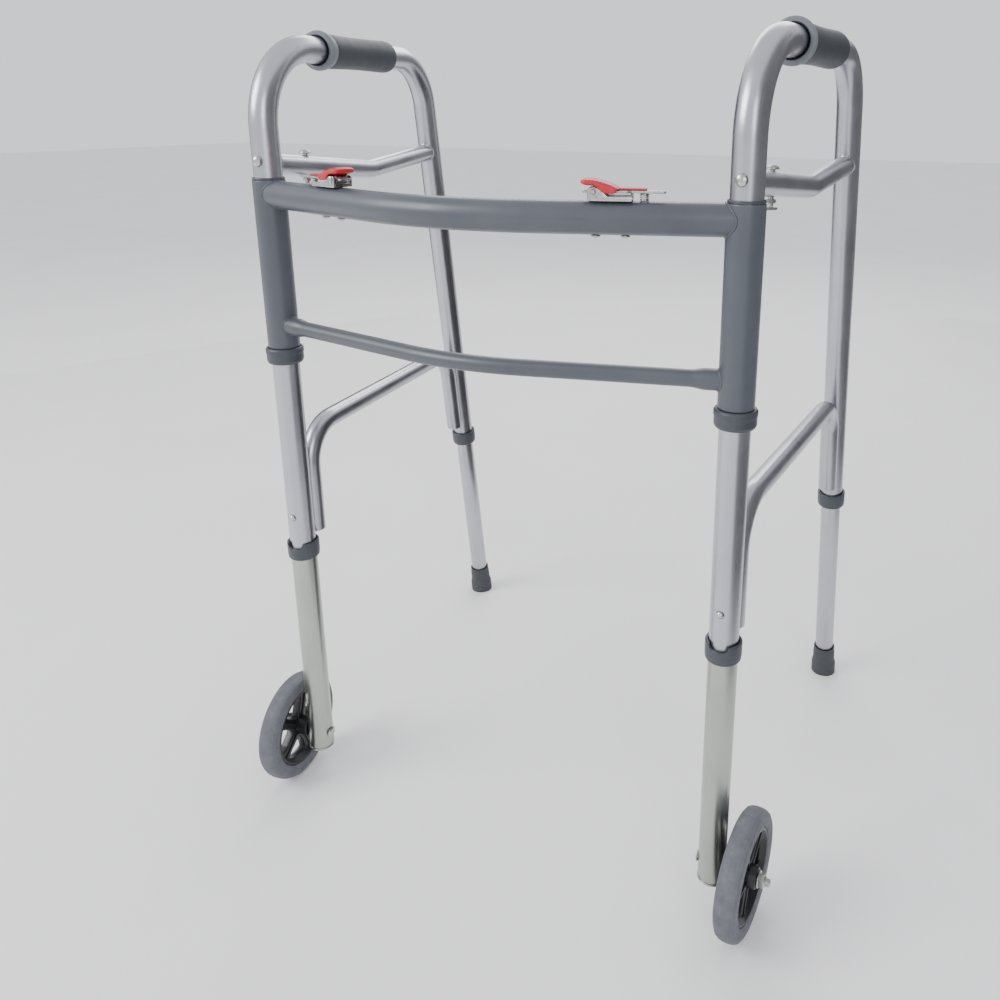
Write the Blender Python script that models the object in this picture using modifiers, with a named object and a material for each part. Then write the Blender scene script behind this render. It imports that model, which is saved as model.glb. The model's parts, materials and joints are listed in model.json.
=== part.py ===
"""A folding walking frame: two bent side frames hinged on a front cross frame, with wheels at the front.

Metres, +Z up, front towards -Y. The rear tips and the wheels stand on z = 0.
Each side frame is drawn in its own plane: y runs rearwards from its hinge axis and x across it.
"""

import math

import bmesh
import bpy
from mathutils import Matrix, Vector

# Driving dimensions
HANDLE_HEIGHT = 0.864
HINGE_SPACING = 0.500
SPLAY = math.radians(5.25)
TUBE_R = 0.0143
TUBE_WALL = 0.0013
BRACE_R = 0.0111
BRACE_WALL = 0.0012
GAP = 0.0003
TUBE_SIDES = 16
BRACE_SIDES = 12
SMALL_SIDES = 10

# Front cross frame
BAR_Z = 0.7185
BAR_BOW = 0.077
BAR_BEND_R = 0.30
LOW_BAR_Z = 0.580
LOW_BAR_R = 0.0079
LOW_BAR_END_R = 0.0098
LOW_BAR_BOW = 0.053
SLEEVE_TOP = 0.7325
SLEEVE_BOTTOM = 0.5560
SLEEVE_R = 0.0165
SLEEVE_BORE = 0.0150
BUSHING_TOP = 0.7355
SLEEVE_COLLAR_BOTTOM = 0.5385
SLEEVE_COLLAR_R = 0.0197

# Side frames
FRONT_BEND_R = 0.080
REAR_BEND_R = 0.068
REAR_FOOT_Y = 0.4655
REAR_TILT = math.atan(0.158)
FRONT_TUBE_END = 0.3070
REAR_TUBE_END = 0.2934
GRIP_FRONT = 0.100
GRIP_REAR = 0.243
GRIP_R = 0.0186
UPRIGHT_BOLT_Z = 0.752
UPPER_BRACE_FRONT = (0.003, 0.7488)
UPPER_BRACE_BEND = (0.190, 0.7315)
UPPER_BRACE_REAR = (0.3460, 0.7454)
LOWER_BRACE_TOP = 0.450
LOWER_BRACE_END = 0.3265
LOWER_BEND_R = 0.045
LATCH_Y = 0.065

# Legs, wheels and tips
LEG_TRAVEL = 0.1016
HOLE_PITCH = 0.0254
SPIGOT_R = 0.0125
SPIGOT_BORE = 0.0110
SPIGOT_LENGTH = 0.190
LEG_BOTTOM = 0.0460
COLLAR_HEIGHT = 0.0200
COLLAR_LAP = 0.0025
COLLAR_R = 0.0177
FRONT_BUTTON_Z = 0.3575
REAR_BUTTON_S = 0.339
BUTTON_R = 0.0038
WHEEL_R = 0.0635
WHEEL_OFFSET = 0.0343
TYRE_WIDTH = 0.0235
RIM_R = 0.0470
AXLE_R = 0.0040
SPOKES = 5
SPOKE_START = 0.25
TIP_R = 0.0170
TIP_HEIGHT = 0.047

# Release levers
LEVER_PIVOT = 0.1256
RIVET_PLACES = {"inner": -0.0015, "outer": -0.0265}
BRACKET_ENDS = (-0.0325, 0.0050)
PIVOT_Z = 0.7405
LEVER_PLATE_Z = 0.7405
LEVER_LATCH_Z = 0.7220
PLATE_WIDTH = 0.0135
PLATE_THICK = 0.0022
LEVER_ARM_END = 0.066
LEVER_STEP = 0.094
STEP_WIDTH = 0.0075

SIDES = {"left": -1, "right": 1}
COLOURS = {
    "silver": ((0.60, 0.60, 0.62), 0.34, 1.0),
    "slate": ((0.115, 0.13, 0.15), 0.42, 0.3),
    "dark_plastic": ((0.045, 0.05, 0.06), 0.55, 0.0),
    "grip": ((0.055, 0.06, 0.07), 0.70, 0.0),
    "rubber": ((0.06, 0.065, 0.07), 0.80, 0.0),
    "tyre": ((0.19, 0.20, 0.22), 0.65, 0.0),
    "hub": ((0.012, 0.012, 0.014), 0.30, 0.0),
    "leg": ((0.50, 0.53, 0.50), 0.40, 1.0),
    "zinc": ((0.62, 0.61, 0.58), 0.30, 1.0),
    "red": ((0.62, 0.02, 0.03), 0.35, 0.0),
}

for old in list(bpy.data.objects):
    bpy.data.objects.remove(old, do_unlink=True)

parts = bpy.data.collections.new("walking_frame")
cutters = bpy.data.collections.new("cutters")
bpy.context.scene.collection.children.link(parts)
bpy.context.scene.collection.children.link(cutters)


def material(name, colour):
    rgb, rough, metal = COLOURS[colour]
    made = bpy.data.materials.new(name)
    made.use_nodes = True
    shader = made.node_tree.nodes["Principled BSDF"]
    shader.inputs["Base Color"].default_value = (*rgb, 1.0)
    shader.inputs["Roughness"].default_value = rough
    shader.inputs["Metallic"].default_value = metal
    return made


def empty(name, parent=None, at=(0, 0, 0), turn=(0, 0, 0)):
    """A joint axis or a local frame: it holds pieces and isn't one itself."""
    made = bpy.data.objects.new(name, None)
    parts.objects.link(made)
    made.parent = parent
    made.location = at
    made.rotation_euler = turn
    return made


def add(name, mesh, colour, parent=None, at=(0, 0, 0), turn=(0, 0, 0)):
    """Places a mesh as a named piece with its own material."""
    made = bpy.data.objects.new(name, mesh)
    parts.objects.link(made)
    made.parent = parent
    made.location = at
    made.rotation_euler = turn
    mesh.materials.clear()
    mesh.materials.append(material(name, colour))
    mesh.set_sharp_from_angle(angle=math.radians(40))
    return made


def solidify(obj, thickness):
    """Gives an open surface its wall, inwards from the drawn face."""
    wall = obj.modifiers.new("wall", "SOLIDIFY")
    wall.thickness = thickness
    wall.offset = -1
    wall.use_even_offset = True
    return obj


def swept_mesh(name, points, radius, sides, capped=True, flare=None):
    """A round bar or open tube surface along points, made from a poly curve with a bevel."""
    curve = bpy.data.curves.new(name, "CURVE")
    curve.dimensions = "3D"
    curve.bevel_depth = radius
    curve.bevel_resolution = (sides - 4) // 2
    curve.use_fill_caps = capped
    curve.twist_mode = "MINIMUM"
    spline = curve.splines.new("POLY")
    spline.points.add(len(points) - 1)
    for index, point in enumerate(points):
        spline.points[index].co = (*point, 1)
        spline.points[index].radius = flare[index] if flare else 1.0
    holder = bpy.data.objects.new(name, curve)
    parts.objects.link(holder)
    bpy.context.view_layer.update()
    graph = bpy.context.evaluated_depsgraph_get()
    mesh = bpy.data.meshes.new_from_object(holder.evaluated_get(graph))
    bpy.data.objects.remove(holder)
    bm = bmesh.new()
    bm.from_mesh(mesh)
    bmesh.ops.remove_doubles(bm, verts=bm.verts, dist=1e-5)
    if capped:
        bmesh.ops.recalc_face_normals(bm, faces=bm.faces)
    bm.to_mesh(mesh)
    bm.free()
    mesh.name = name
    mesh.shade_smooth()
    return mesh


def rounded_path(corners, radius, steps):
    """The corners joined by straight runs, with an arc of this radius at each inner corner."""
    corners = [Vector(corner) for corner in corners]
    path = [corners[0]]
    for before, corner, after in zip(corners, corners[1:], corners[2:]):
        first = (before - corner).normalized()
        second = (after - corner).normalized()
        half = first.angle(second) / 2
        reach = radius / math.tan(half)
        centre = corner + (first + second).normalized() * (radius / math.sin(half))
        start = corner + first * reach - centre
        end = corner + second * reach - centre
        sweep = start.angle(end)
        for step in range(steps + 1):
            share = step / steps
            blend = start * math.sin((1 - share) * sweep) + end * math.sin(share * sweep)
            path.append(centre + blend / math.sin(sweep))
    path.append(corners[-1])
    return path


def turned(name, profile, steps, colour, parent=None, at=(0, 0, 0), turn=(0, 0, 0)):
    """A turned shape about its own Z. The profile runs down the outer side, top to bottom."""
    mesh = bpy.data.meshes.new(name)
    bm = bmesh.new()
    rows = [bm.verts.new((r, 0, z)) for r, z in profile]
    for first, second in zip(rows, rows[1:]):
        bm.edges.new((first, second))
    if min(r for r, z in profile) > 1e-6:
        bm.edges.new((rows[-1], rows[0]))
    bm.to_mesh(mesh)
    bm.free()
    made = add(name, mesh, colour, parent, at, turn)
    screw = made.modifiers.new("turn", "SCREW")
    screw.axis = "Z"
    screw.steps = steps
    screw.render_steps = steps
    screw.use_merge_vertices = True
    screw.merge_threshold = 0.00002
    return made


def ring(outer, bore, low, high, bevel=0.0008):
    """The closed profile of a sleeve or collar with softened outer corners."""
    return [
        (bore, high),
        (outer - bevel, high),
        (outer, high - bevel),
        (outer, low + bevel),
        (outer - bevel, low),
        (bore, low),
    ]


def pin_profile(shank, low, high, head, head_height, dome=0.0):
    """A headed pin: the head stands on top of high, the shank runs down to low."""
    profile = [(0, high + head_height)]
    if dome:
        profile.append((head * 0.6, high + head_height - dome * 0.3))
    profile += [(head, high + head_height - dome), (head, high), (shank, high)]
    profile += [(shank, low), (0, low)]
    return profile


def hide(obj):
    """Moves a helper to the cutters."""
    parts.objects.unlink(obj)
    cutters.objects.link(obj)
    obj.hide_render = True
    obj.display_type = "WIRE"
    return obj


def rod_cutter(name, radius, length, parent, at, turn=(0, 0, 0), sides=SMALL_SIDES):
    """A centred cylinder along its own Z that cuts a hole."""
    mesh = bpy.data.meshes.new(name)
    bm = bmesh.new()
    bmesh.ops.create_cone(
        bm,
        cap_ends=True,
        segments=sides,
        radius1=radius,
        radius2=radius,
        depth=length,
    )
    bm.to_mesh(mesh)
    bm.free()
    return hide(add(name, mesh, "zinc", parent, at, turn))


def block_mesh(name, size):
    mesh = bpy.data.meshes.new(name)
    bm = bmesh.new()
    bmesh.ops.create_cube(bm, size=1.0, matrix=Matrix.Diagonal((*size, 1)))
    bm.to_mesh(mesh)
    bm.free()
    return mesh


def cut(obj, cutter, operation="DIFFERENCE"):
    boolean = obj.modifiers.new(cutter.name, "BOOLEAN")
    boolean.operation = operation
    boolean.object = cutter
    boolean.solver = "EXACT"
    return obj


def bevel(obj, width, segments=2, angle=40):
    made = obj.modifiers.new("edges", "BEVEL")
    made.width = width
    made.segments = segments
    made.limit_method = "ANGLE"
    made.angle_limit = math.radians(angle)
    return made


ACROSS = (0, math.pi / 2, 0)
ALONG_Y = (-math.pi / 2, 0, 0)
FORWARD = (math.pi / 2, 0, 0)


def rear_y(z):
    """Where the rear upright's axis stands at height z, in a side frame's plane."""
    return REAR_FOOT_Y - z * math.tan(REAR_TILT)


def bar_path(half_span, bow, height, radius):
    """A bar between the hinges that bows forwards to a bend at its middle."""
    corners = [(-half_span, 0, height), (0, -bow, height), (half_span, 0, height)]
    return rounded_path(corners, radius, 4)


def build_crossbars(root):
    """The two bowed bars, their ends shaped to the hinge sleeves."""
    half = HINGE_SPACING / 2
    upper_path = bar_path(half, BAR_BOW, BAR_Z, BAR_BEND_R)
    mesh = swept_mesh("upper_crossbar", upper_path, TUBE_R, TUBE_SIDES, capped=False)
    upper = solidify(add("upper_crossbar", mesh, "slate", root), TUBE_WALL)

    low_path = bar_path(half, LOW_BAR_BOW, LOW_BAR_Z, BAR_BEND_R)
    first, last = low_path[0], low_path[-1]
    flare = LOW_BAR_END_R / LOW_BAR_R
    left_end = [first.lerp(low_path[1], share) for share in (0.0, 0.15, 0.22)]
    right_end = [last.lerp(low_path[-2], share) for share in (0.22, 0.15, 0.0)]
    points = left_end + low_path[1:-1] + right_end
    radii = [flare, flare, 1.0] + [1.0] * (len(low_path) - 2) + [1.0, flare, flare]
    mesh = swept_mesh("lower_crossbar", points, LOW_BAR_R, BRACE_SIDES, False, radii)
    lower = solidify(add("lower_crossbar", mesh, "slate", root), TUBE_WALL)

    for side, sign in SIDES.items():
        at = (sign * half, 0, (SLEEVE_TOP + SLEEVE_BOTTOM) / 2)
        end = rod_cutter(side + "_bar_end", SLEEVE_R + 0.0004, 0.3, root, at, sides=20)
        cut(upper, end)
        cut(lower, end)
    return upper


def bar_direction(sign):
    """The plan direction from a hinge axis towards the upper bar's middle."""
    return Vector((-sign * HINGE_SPACING / 2, -BAR_BOW, 0)).normalized()


def build_hinge(root, side, sign):
    """The painted sleeve that a side frame's front upright turns in, and its two bushings."""
    at = (sign * HINGE_SPACING / 2, 0, 0)
    sleeve = ring(SLEEVE_R, SLEEVE_BORE, SLEEVE_BOTTOM, SLEEVE_TOP, 0.0004)
    turned(side + "_hinge_sleeve", sleeve, 20, "slate", root, at)
    low = SLEEVE_TOP + GAP
    bushing = ring(SLEEVE_R - 0.0004, SLEEVE_BORE, low, BUSHING_TOP, 0.0006)
    turned(side + "_top_bushing", bushing, 20, "dark_plastic", root, at)
    high = SLEEVE_BOTTOM - GAP
    collar = ring(SLEEVE_COLLAR_R, SLEEVE_BORE, SLEEVE_COLLAR_BOTTOM, high, 0.0012)
    turned(side + "_sleeve_collar", collar, 20, "dark_plastic", root, at)


def build_latch_bracket(root, side, sign, crossbar):
    """The pressed bracket on the bar, its two rivets and the lever's pivot pin."""
    direction = bar_direction(sign)
    heading = math.atan2(direction.y, direction.x)
    centre = Vector((sign * HINGE_SPACING / 2, 0, 0)) + direction * LEVER_PIVOT
    frame = empty(side + "_bracket_frame", root, centre, (0, 0, heading))
    width, sheet = 0.0205, 0.0015
    outer, inner = BRACKET_ENDS
    floor, top = BAR_Z + TUBE_R + GAP, PIVOT_Z + 0.0032
    size = Vector((inner - outer, width, top - floor))
    middle = Vector(((outer + inner) / 2, 0, (floor + top) / 2))
    name = side + "_latch_bracket"
    bracket = add(name, block_mesh(name, size), "zinc", frame, middle)
    hollow_size = (size.x * 2, width - 2 * sheet, size.z)
    hollow = block_mesh(side + "_bracket_inside", hollow_size)
    at = middle + Vector((0, 0, sheet))
    cut(bracket, hide(add(side + "_bracket_inside", hollow, "zinc", frame, at)))
    ear_length, ear_drop = 0.0093, 0.0067
    shape = block_mesh(side + "_ear_step", (2 * ear_length, width * 2, 2 * ear_drop))
    cut(bracket, hide(add(side + "_ear_step", shape, "zinc", frame, (outer, 0, top))))
    pivot = (0, 0, PIVOT_Z)
    cut(bracket, rod_cutter(side + "_pivot_hole", 0.0023, 0.05, frame, pivot, FORWARD))
    pin = pin_profile(0.0020, -0.0118, 0.0107, 0.0032, 0.0010, 0.0005)
    turned(side + "_pivot_pin", pin, 12, "zinc", frame, pivot, FORWARD)
    for end, place in RIVET_PLACES.items():
        at = (place, 0, BAR_Z)
        hole = rod_cutter(f"{side}_{end}_rivet_hole", 0.0023, 0.06, frame, at)
        cut(bracket, hole)
        cut(crossbar, hole)
        under = BAR_Z - TUBE_R - GAP
        on_floor = floor + sheet + GAP
        rivet = [
            (0, on_floor + 0.0009),
            (0.0030, on_floor + 0.0006),
            (0.0036, on_floor),
            (0.0020, on_floor),
            (0.0020, under),
            (0.0042, under),
            (0.0036, under - 0.0016),
            (0, under - 0.0024),
        ]
        turned(f"{side}_{end}_rivet", rivet, 12, "zinc", frame, (place, 0, 0))
    return frame


def slab(name, parent, low, high, turn=0.0, colour="zinc"):
    """A box between two corners, turned in plan about its middle."""
    low, high = Vector(low), Vector(high)
    size = Vector([abs(end) for end in high - low])
    return add(name, block_mesh(name, size), colour, parent, (low + high) / 2, (0, 0, turn))


def latch_in_pivot_frame(sign):
    """The latch bolt's axis seen from the lever's pivot, with x running towards the bar's middle."""
    side_y = Vector((sign * math.sin(SPLAY), math.cos(SPLAY), 0)) * LATCH_Y
    along = bar_direction(sign)
    across = Vector((-along.y, along.x, 0))
    return Vector((side_y.dot(along) - LEVER_PIVOT, side_y.dot(across), 0))


def build_lever(side, sign, bracket):
    """The pressed steel lever: a flat arm over the bar and a low arm to the latch bolt."""
    pivot = empty(side + "_lever_pivot", bracket, (0, 0, PIVOT_Z))
    rear = -sign
    half, thick = PLATE_WIDTH / 2, PLATE_THICK / 2
    high, low = LEVER_PLATE_Z - PIVOT_Z, LEVER_LATCH_Z - PIVOT_Z
    inner, outer, step = 0.0095, LEVER_ARM_END - LEVER_PIVOT, LEVER_STEP - LEVER_PIVOT
    reach = TUBE_R + 0.0012 + STEP_WIDTH
    low_corner, high_corner = (outer, -half, high - thick), (inner, half, high + thick)
    plate = slab(side + "_lever_plate", pivot, low_corner, high_corner)
    shape_at = plate.location.x
    for vertex in plate.data.vertices:
        if vertex.co.x + shape_at < step:
            vertex.co.y *= 0.72
    wing = slab(
        side + "_lever_wing",
        pivot,
        (step, -half * rear, high - thick),
        (step + STEP_WIDTH, reach * rear, high + thick),
    )
    drop = slab(
        side + "_lever_drop",
        pivot,
        (step, (reach - STEP_WIDTH) * rear, low - thick),
        (step + PLATE_THICK, reach * rear, high + thick),
    )
    latch = latch_in_pivot_frame(sign)
    start = Vector((step + PLATE_THICK, (reach - STEP_WIDTH / 2) * rear, 0))
    heading = math.atan2(latch.y - start.y, latch.x - start.x)
    middle = (start + latch) / 2 + (latch - start).normalized() * 0.003
    length = (latch - start).length + 0.009
    arm_mesh = block_mesh(side + "_lever_arm", (length, STEP_WIDTH + 0.0018, PLATE_THICK))
    at = (middle.x, middle.y, low)
    arm = add(side + "_lever_arm", arm_mesh, "zinc", pivot, at, (0, 0, heading))
    for extra in (wing, drop, arm):
        cut(plate, hide(extra), "UNION")
    barrel_length = PLATE_WIDTH - 0.001
    origin = (0, 0, 0)
    barrel = rod_cutter(side + "_barrel", 0.0042, barrel_length, pivot, origin, FORWARD, 16)
    cut(plate, barrel, "UNION")
    cut(plate, rod_cutter(side + "_barrel_bore", 0.0024, 0.03, pivot, origin, FORWARD, 16))
    tip = (latch.x, latch.y, low)
    cut(plate, rod_cutter(side + "_latch_hole", 0.0032, 0.02, pivot, tip))
    build_release_button(side, pivot, high + thick)


def build_release_button(side, pivot, plate_top):
    """The moulded press button: a wedge over the pivot, two skirts beside the bracket and a tail."""
    outer, inner, half = -0.0210, 0.0105, 0.0122
    ceiling, low_top, high_top = 0.0047, 0.0080, 0.0108
    name = side + "_release_button"
    button = slab(name, pivot, (outer, -half, ceiling), (inner, half, high_top), colour="red")
    for vertex in button.data.vertices:
        if vertex.co.x < 0 and vertex.co.z > 0:
            vertex.co.z -= high_top - low_top
    bevel(button, 0.0024, 2)
    foot = plate_top + GAP
    skirt, skirt_end, skirt_low = half - 0.0108, -0.0055, -0.0030
    blocks = {
        "foot": ((outer, -0.0045, foot), (-0.0100, 0.0045, ceiling + 0.001)),
        "tail": ((-0.0440, -0.0042, foot), (outer + 0.003, 0.0042, foot + 0.0016)),
        "left_skirt": ((outer, -half, skirt_low), (skirt_end, skirt - half, ceiling + 0.001)),
        "right_skirt": ((outer, half - skirt, skirt_low), (skirt_end, half, ceiling + 0.001)),
    }
    for block, (low, high) in blocks.items():
        cut(button, hide(slab(f"{side}_button_{block}", pivot, low, high)), "UNION")
    button.data.shade_smooth()


def build_lever_spring(side, bracket):
    """The small coil spring between the bar and the lever's outer arm."""
    low, high = BAR_Z + TUBE_R + GAP, LEVER_PLATE_Z - PLATE_THICK / 2 - GAP
    turns, steps, coil, wire = 3, 8, 0.0034, 0.0005
    rise = high - low - 2 * wire
    points = []
    for index in range(turns * steps + 1):
        angle = 2 * math.pi * index / steps
        z = low + wire + rise * index / (turns * steps)
        points.append((coil * math.cos(angle), coil * math.sin(angle), z))
    mesh = swept_mesh(side + "_lever_spring", points, wire, 6)
    add(side + "_lever_spring", mesh, "zinc", bracket, (-0.042, 0, 0))


def build_side_tube(frame, side):
    """The one bent tube: front upright, handle and rear upright."""
    foot = (0, rear_y(REAR_TUBE_END), REAR_TUBE_END)
    top = (0, rear_y(HANDLE_HEIGHT), HANDLE_HEIGHT)
    front = rounded_path([(0, 0, FRONT_TUBE_END), (0, 0, HANDLE_HEIGHT), top], FRONT_BEND_R, 6)
    rear = rounded_path([(0, 0, HANDLE_HEIGHT), top, foot], REAR_BEND_R, 6)
    path = front[:-1] + rear[1:]
    mesh = swept_mesh(side + "_side_tube", path, TUBE_R, TUBE_SIDES, capped=False)
    tube = solidify(add(side + "_side_tube", mesh, "silver", frame), TUBE_WALL)
    at = (0, 0, UPRIGHT_BOLT_Z)
    cut(tube, rod_cutter(side + "_bolt_hole", 0.0028, 0.05, frame, at, FORWARD))
    at = (0, -TUBE_R, FRONT_BUTTON_Z)
    hole = rod_cutter(side + "_front_button_hole", BUTTON_R + GAP, 0.008, frame, at, FORWARD)
    cut(tube, hole)
    return tube


def build_grip(frame, side):
    """The hand grip, with a flared guard at its front."""
    length = GRIP_REAR - GRIP_FRONT
    bore = TUBE_R + 0.0006
    profile = [
        (bore, length),
        (GRIP_R - 0.002, length),
        (GRIP_R, length - 0.003),
        (GRIP_R, 0.020),
        (GRIP_R, 0.012),
        (0.0212, 0.0045),
        (0.0206, 0.001),
        (0.0190, 0),
        (bore, 0),
    ]
    at = (0, GRIP_FRONT, HANDLE_HEIGHT)
    turned(side + "_grip", profile, 20, "grip", frame, at, ALONG_Y)


def build_braces(frame, side):
    """The upper brace with its bend, and the arched lower brace that runs down beside both legs."""
    corners = [UPPER_BRACE_FRONT, UPPER_BRACE_BEND, UPPER_BRACE_REAR]
    corners = [(0, y, z) for y, z in corners]
    path = rounded_path(corners, 0.12, 4)
    mesh = swept_mesh(side + "_upper_brace", path, BRACE_R, BRACE_SIDES, capped=False)
    upper = solidify(add(side + "_upper_brace", mesh, "silver", frame), BRACE_WALL)
    at = (0, 0, UPRIGHT_BOLT_Z)
    facet_turn = (0, 0, 0.05)
    cut(upper, rod_cutter(side + "_brace_front", TUBE_R + 0.0005, 0.1, frame, at, facet_turn, 20))
    tilt = (REAR_TILT, 0, 0)
    y, z = UPPER_BRACE_REAR
    at = (0, rear_y(z), z)
    cut(upper, rod_cutter(side + "_brace_rear", TUBE_R + 0.0004, 0.1, frame, at, tilt, 20))
    at = (0, LATCH_Y, UPRIGHT_BOLT_Z)
    cut(upper, rod_cutter(side + "_latch_bolt_hole", 0.0029, 0.06, frame, at))

    offset = TUBE_R + BRACE_R + 0.0004
    slant = offset / math.cos(REAR_TILT)
    corners = [
        (0, offset, LOWER_BRACE_END),
        (0, offset, LOWER_BRACE_TOP),
        (0, rear_y(LOWER_BRACE_TOP) - slant, LOWER_BRACE_TOP),
        (0, rear_y(LOWER_BRACE_END) - slant, LOWER_BRACE_END),
    ]
    path = rounded_path(corners, LOWER_BEND_R, 5)
    mesh = swept_mesh(side + "_lower_brace", path, BRACE_R, BRACE_SIDES, capped=False)
    solidify(add(side + "_lower_brace", mesh, "silver", frame), BRACE_WALL)


def build_side_fasteners(frame, side):
    """The bolt through the front upright, and the latch bolt with its nut."""
    bolt = pin_profile(0.0025, -0.0300, TUBE_R + GAP, 0.0056, 0.0042, 0.0022)
    at = (0, 0, UPRIGHT_BOLT_Z)
    turned(side + "_upright_bolt", bolt, 12, "zinc", frame, at, FORWARD)
    top = 0.7448 + BRACE_R
    under = 0.7417 - BRACE_R - GAP
    tip = LEVER_LATCH_Z + PLATE_THICK / 2 + 0.0004
    bolt = pin_profile(0.0025, tip, top + GAP, 0.0062, 0.0040, 0.0022)
    turned(side + "_latch_bolt", bolt, 12, "zinc", frame, (0, LATCH_Y, 0))
    nut = [(0.0029, under), (0.0050, under), (0.0050, under - 0.0034), (0.0029, under - 0.0034)]
    turned(side + "_latch_nut", nut, 6, "zinc", frame, (0, LATCH_Y, 0))


def build_leg_collar(name, frame, low, notch_side):
    """The moulded collar at the lower end of a frame tube, with a U notch under the snap button."""
    collar = ring(COLLAR_R, TUBE_R + 0.0006, low, low + COLLAR_HEIGHT, 0.0012)
    made = turned(name, collar, 20, "dark_plastic", frame)
    notch = block_mesh(name + "_notch", (0.013, 0.03, 0.016))
    at = (0, notch_side * (TUBE_R + 0.012), low + COLLAR_HEIGHT)
    cut(made, hide(add(name + "_notch", notch, "zinc", frame, at)))
    return made


def build_snap_button(name, frame, out_radius, z, turn):
    """The domed button in the frame tube's wall. It moves in along its own axis."""
    inner = SPIGOT_R + 0.0003
    profile = [
        (0, out_radius + 0.0028),
        (BUTTON_R * 0.7, out_radius + 0.0021),
        (BUTTON_R, out_radius + 0.0006),
        (BUTTON_R, inner),
        (0, inner),
    ]
    turned(name, profile, 12, "zinc", frame, (0, 0, z), turn)


def leg_holes(leg, frame, name, first, sign_y):
    """The row of height holes in the inner tube, one at each setting."""
    count = round(LEG_TRAVEL / HOLE_PITCH) + 1
    for index in range(count):
        at = (0, sign_y * SPIGOT_R, first + index * HOLE_PITCH)
        hole = rod_cutter(f"{name}_hole_{index}", BUTTON_R + 0.0004, 0.008, frame, at, FORWARD, 8)
        cut(leg, hole)


def build_front_leg(frame, side, sign):
    """The wheel leg that slides in the front upright, its plug, axle bolt and nut."""
    shoulder = FRONT_TUBE_END - COLLAR_LAP
    top = shoulder + SPIGOT_LENGTH
    profile = [
        (SPIGOT_BORE, top),
        (SPIGOT_R, top),
        (SPIGOT_R, shoulder),
        (TUBE_R, shoulder),
        (TUBE_R, LEG_BOTTOM),
        (SPIGOT_BORE, LEG_BOTTOM),
    ]
    leg = turned(side + "_wheel_leg", profile, TUBE_SIDES, "leg", frame)
    leg_holes(leg, frame, side + "_wheel_leg", FRONT_BUTTON_Z, -1)
    at = (0, 0, WHEEL_R)
    cut(leg, rod_cutter(side + "_axle_hole", AXLE_R + GAP, 0.06, frame, at, ACROSS))
    low = LEG_BOTTOM - GAP
    plug = [
        (0, LEG_BOTTOM + 0.006),
        (SPIGOT_BORE - 0.0005, LEG_BOTTOM + 0.006),
        (SPIGOT_BORE - 0.0005, low),
        (TUBE_R + 0.0006, low),
        (TUBE_R + 0.0006, low - 0.002),
        (TUBE_R - 0.001, low - 0.0035),
        (0, low - 0.0035),
    ]
    turned(side + "_leg_plug", plug, TUBE_SIDES, "dark_plastic", frame)

    spin = empty(side + "_wheel_axis", frame, (sign * WHEEL_OFFSET, 0, WHEEL_R))
    outward = (0, sign * math.pi / 2, 0)
    inner = -WHEEL_OFFSET - TUBE_R - GAP
    nut_face = 0.0152
    bolt = [
        (0, nut_face + 0.0120),
        (AXLE_R - 0.001, nut_face + 0.0120),
        (AXLE_R, nut_face + 0.0110),
        (AXLE_R, inner),
        (0.0068, inner),
        (0.0068, inner - 0.0008),
        (0.0045, inner - 0.0020),
        (0, inner - 0.0024),
    ]
    turned(side + "_axle_bolt", bolt, 16, "zinc", spin, (0, 0, 0), outward)
    nut = [
        (AXLE_R + 0.0004, nut_face + 0.0072),
        (0.0066, nut_face + 0.0072),
        (0.0072, nut_face + 0.0062),
        (0.0072, nut_face + 0.0015),
        (0.0086, nut_face + 0.0015),
        (0.0086, nut_face),
        (AXLE_R + 0.0004, nut_face),
    ]
    turned(side + "_axle_nut", nut, 12, "zinc", spin, (0, 0, 0), outward)
    return spin


def build_wheel(spin, side, sign):
    """The solid tyre and the five-spoke hub."""
    outward = (0, sign * math.pi / 2, 0)
    half = TYRE_WIDTH / 2
    tyre = [
        (RIM_R + 0.0004, half - 0.0015),
        (RIM_R + 0.0040, half),
        (WHEEL_R - 0.0055, half),
        (WHEEL_R - 0.0016, half - 0.0035),
        (WHEEL_R, half - 0.0080),
        (WHEEL_R, -half + 0.0080),
        (WHEEL_R - 0.0016, -half + 0.0035),
        (WHEEL_R - 0.0055, -half),
        (RIM_R + 0.0040, -half),
        (RIM_R + 0.0004, -half + 0.0015),
    ]
    turned(side + "_tyre", tyre, 32, "tyre", spin, (0, 0, 0), outward)

    rim_half, inner_rim = half - 0.0020, RIM_R - 0.0060
    rim = [
        (inner_rim, rim_half),
        (RIM_R, rim_half),
        (RIM_R, -rim_half),
        (inner_rim, -rim_half),
    ]
    hub = turned(side + "_hub", rim, 32, "hub", spin, (0, 0, 0), outward)
    for index in range(SPOKES):
        angle = 2 * math.pi * (index + SPOKE_START) / SPOKES
        reach = inner_rim + 0.002
        spoke = block_mesh(f"{side}_spoke_{index}", (reach, 0.0095, 0.011))
        for vertex in spoke.vertices:
            vertex.co.x += reach / 2
        at, turn = (0, 0, 0), (0, 0, angle)
        holder = empty(f"{side}_spoke_frame_{index}", spin, at, outward)
        cut(hub, hide(add(f"{side}_spoke_{index}", spoke, "hub", holder, at, turn)), "UNION")
    back = WHEEL_OFFSET - TUBE_R - 0.0006
    face = 0.0148
    at = (sign * (face - back) / 2, 0, 0)
    boss = rod_cutter(side + "_boss", 0.0120, face + back, spin, at, outward, 20)
    cut(hub, boss, "UNION")
    cut(hub, rod_cutter(side + "_hub_bore", AXLE_R + 0.0004, 0.1, spin, (0, 0, 0), outward, 16))


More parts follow.
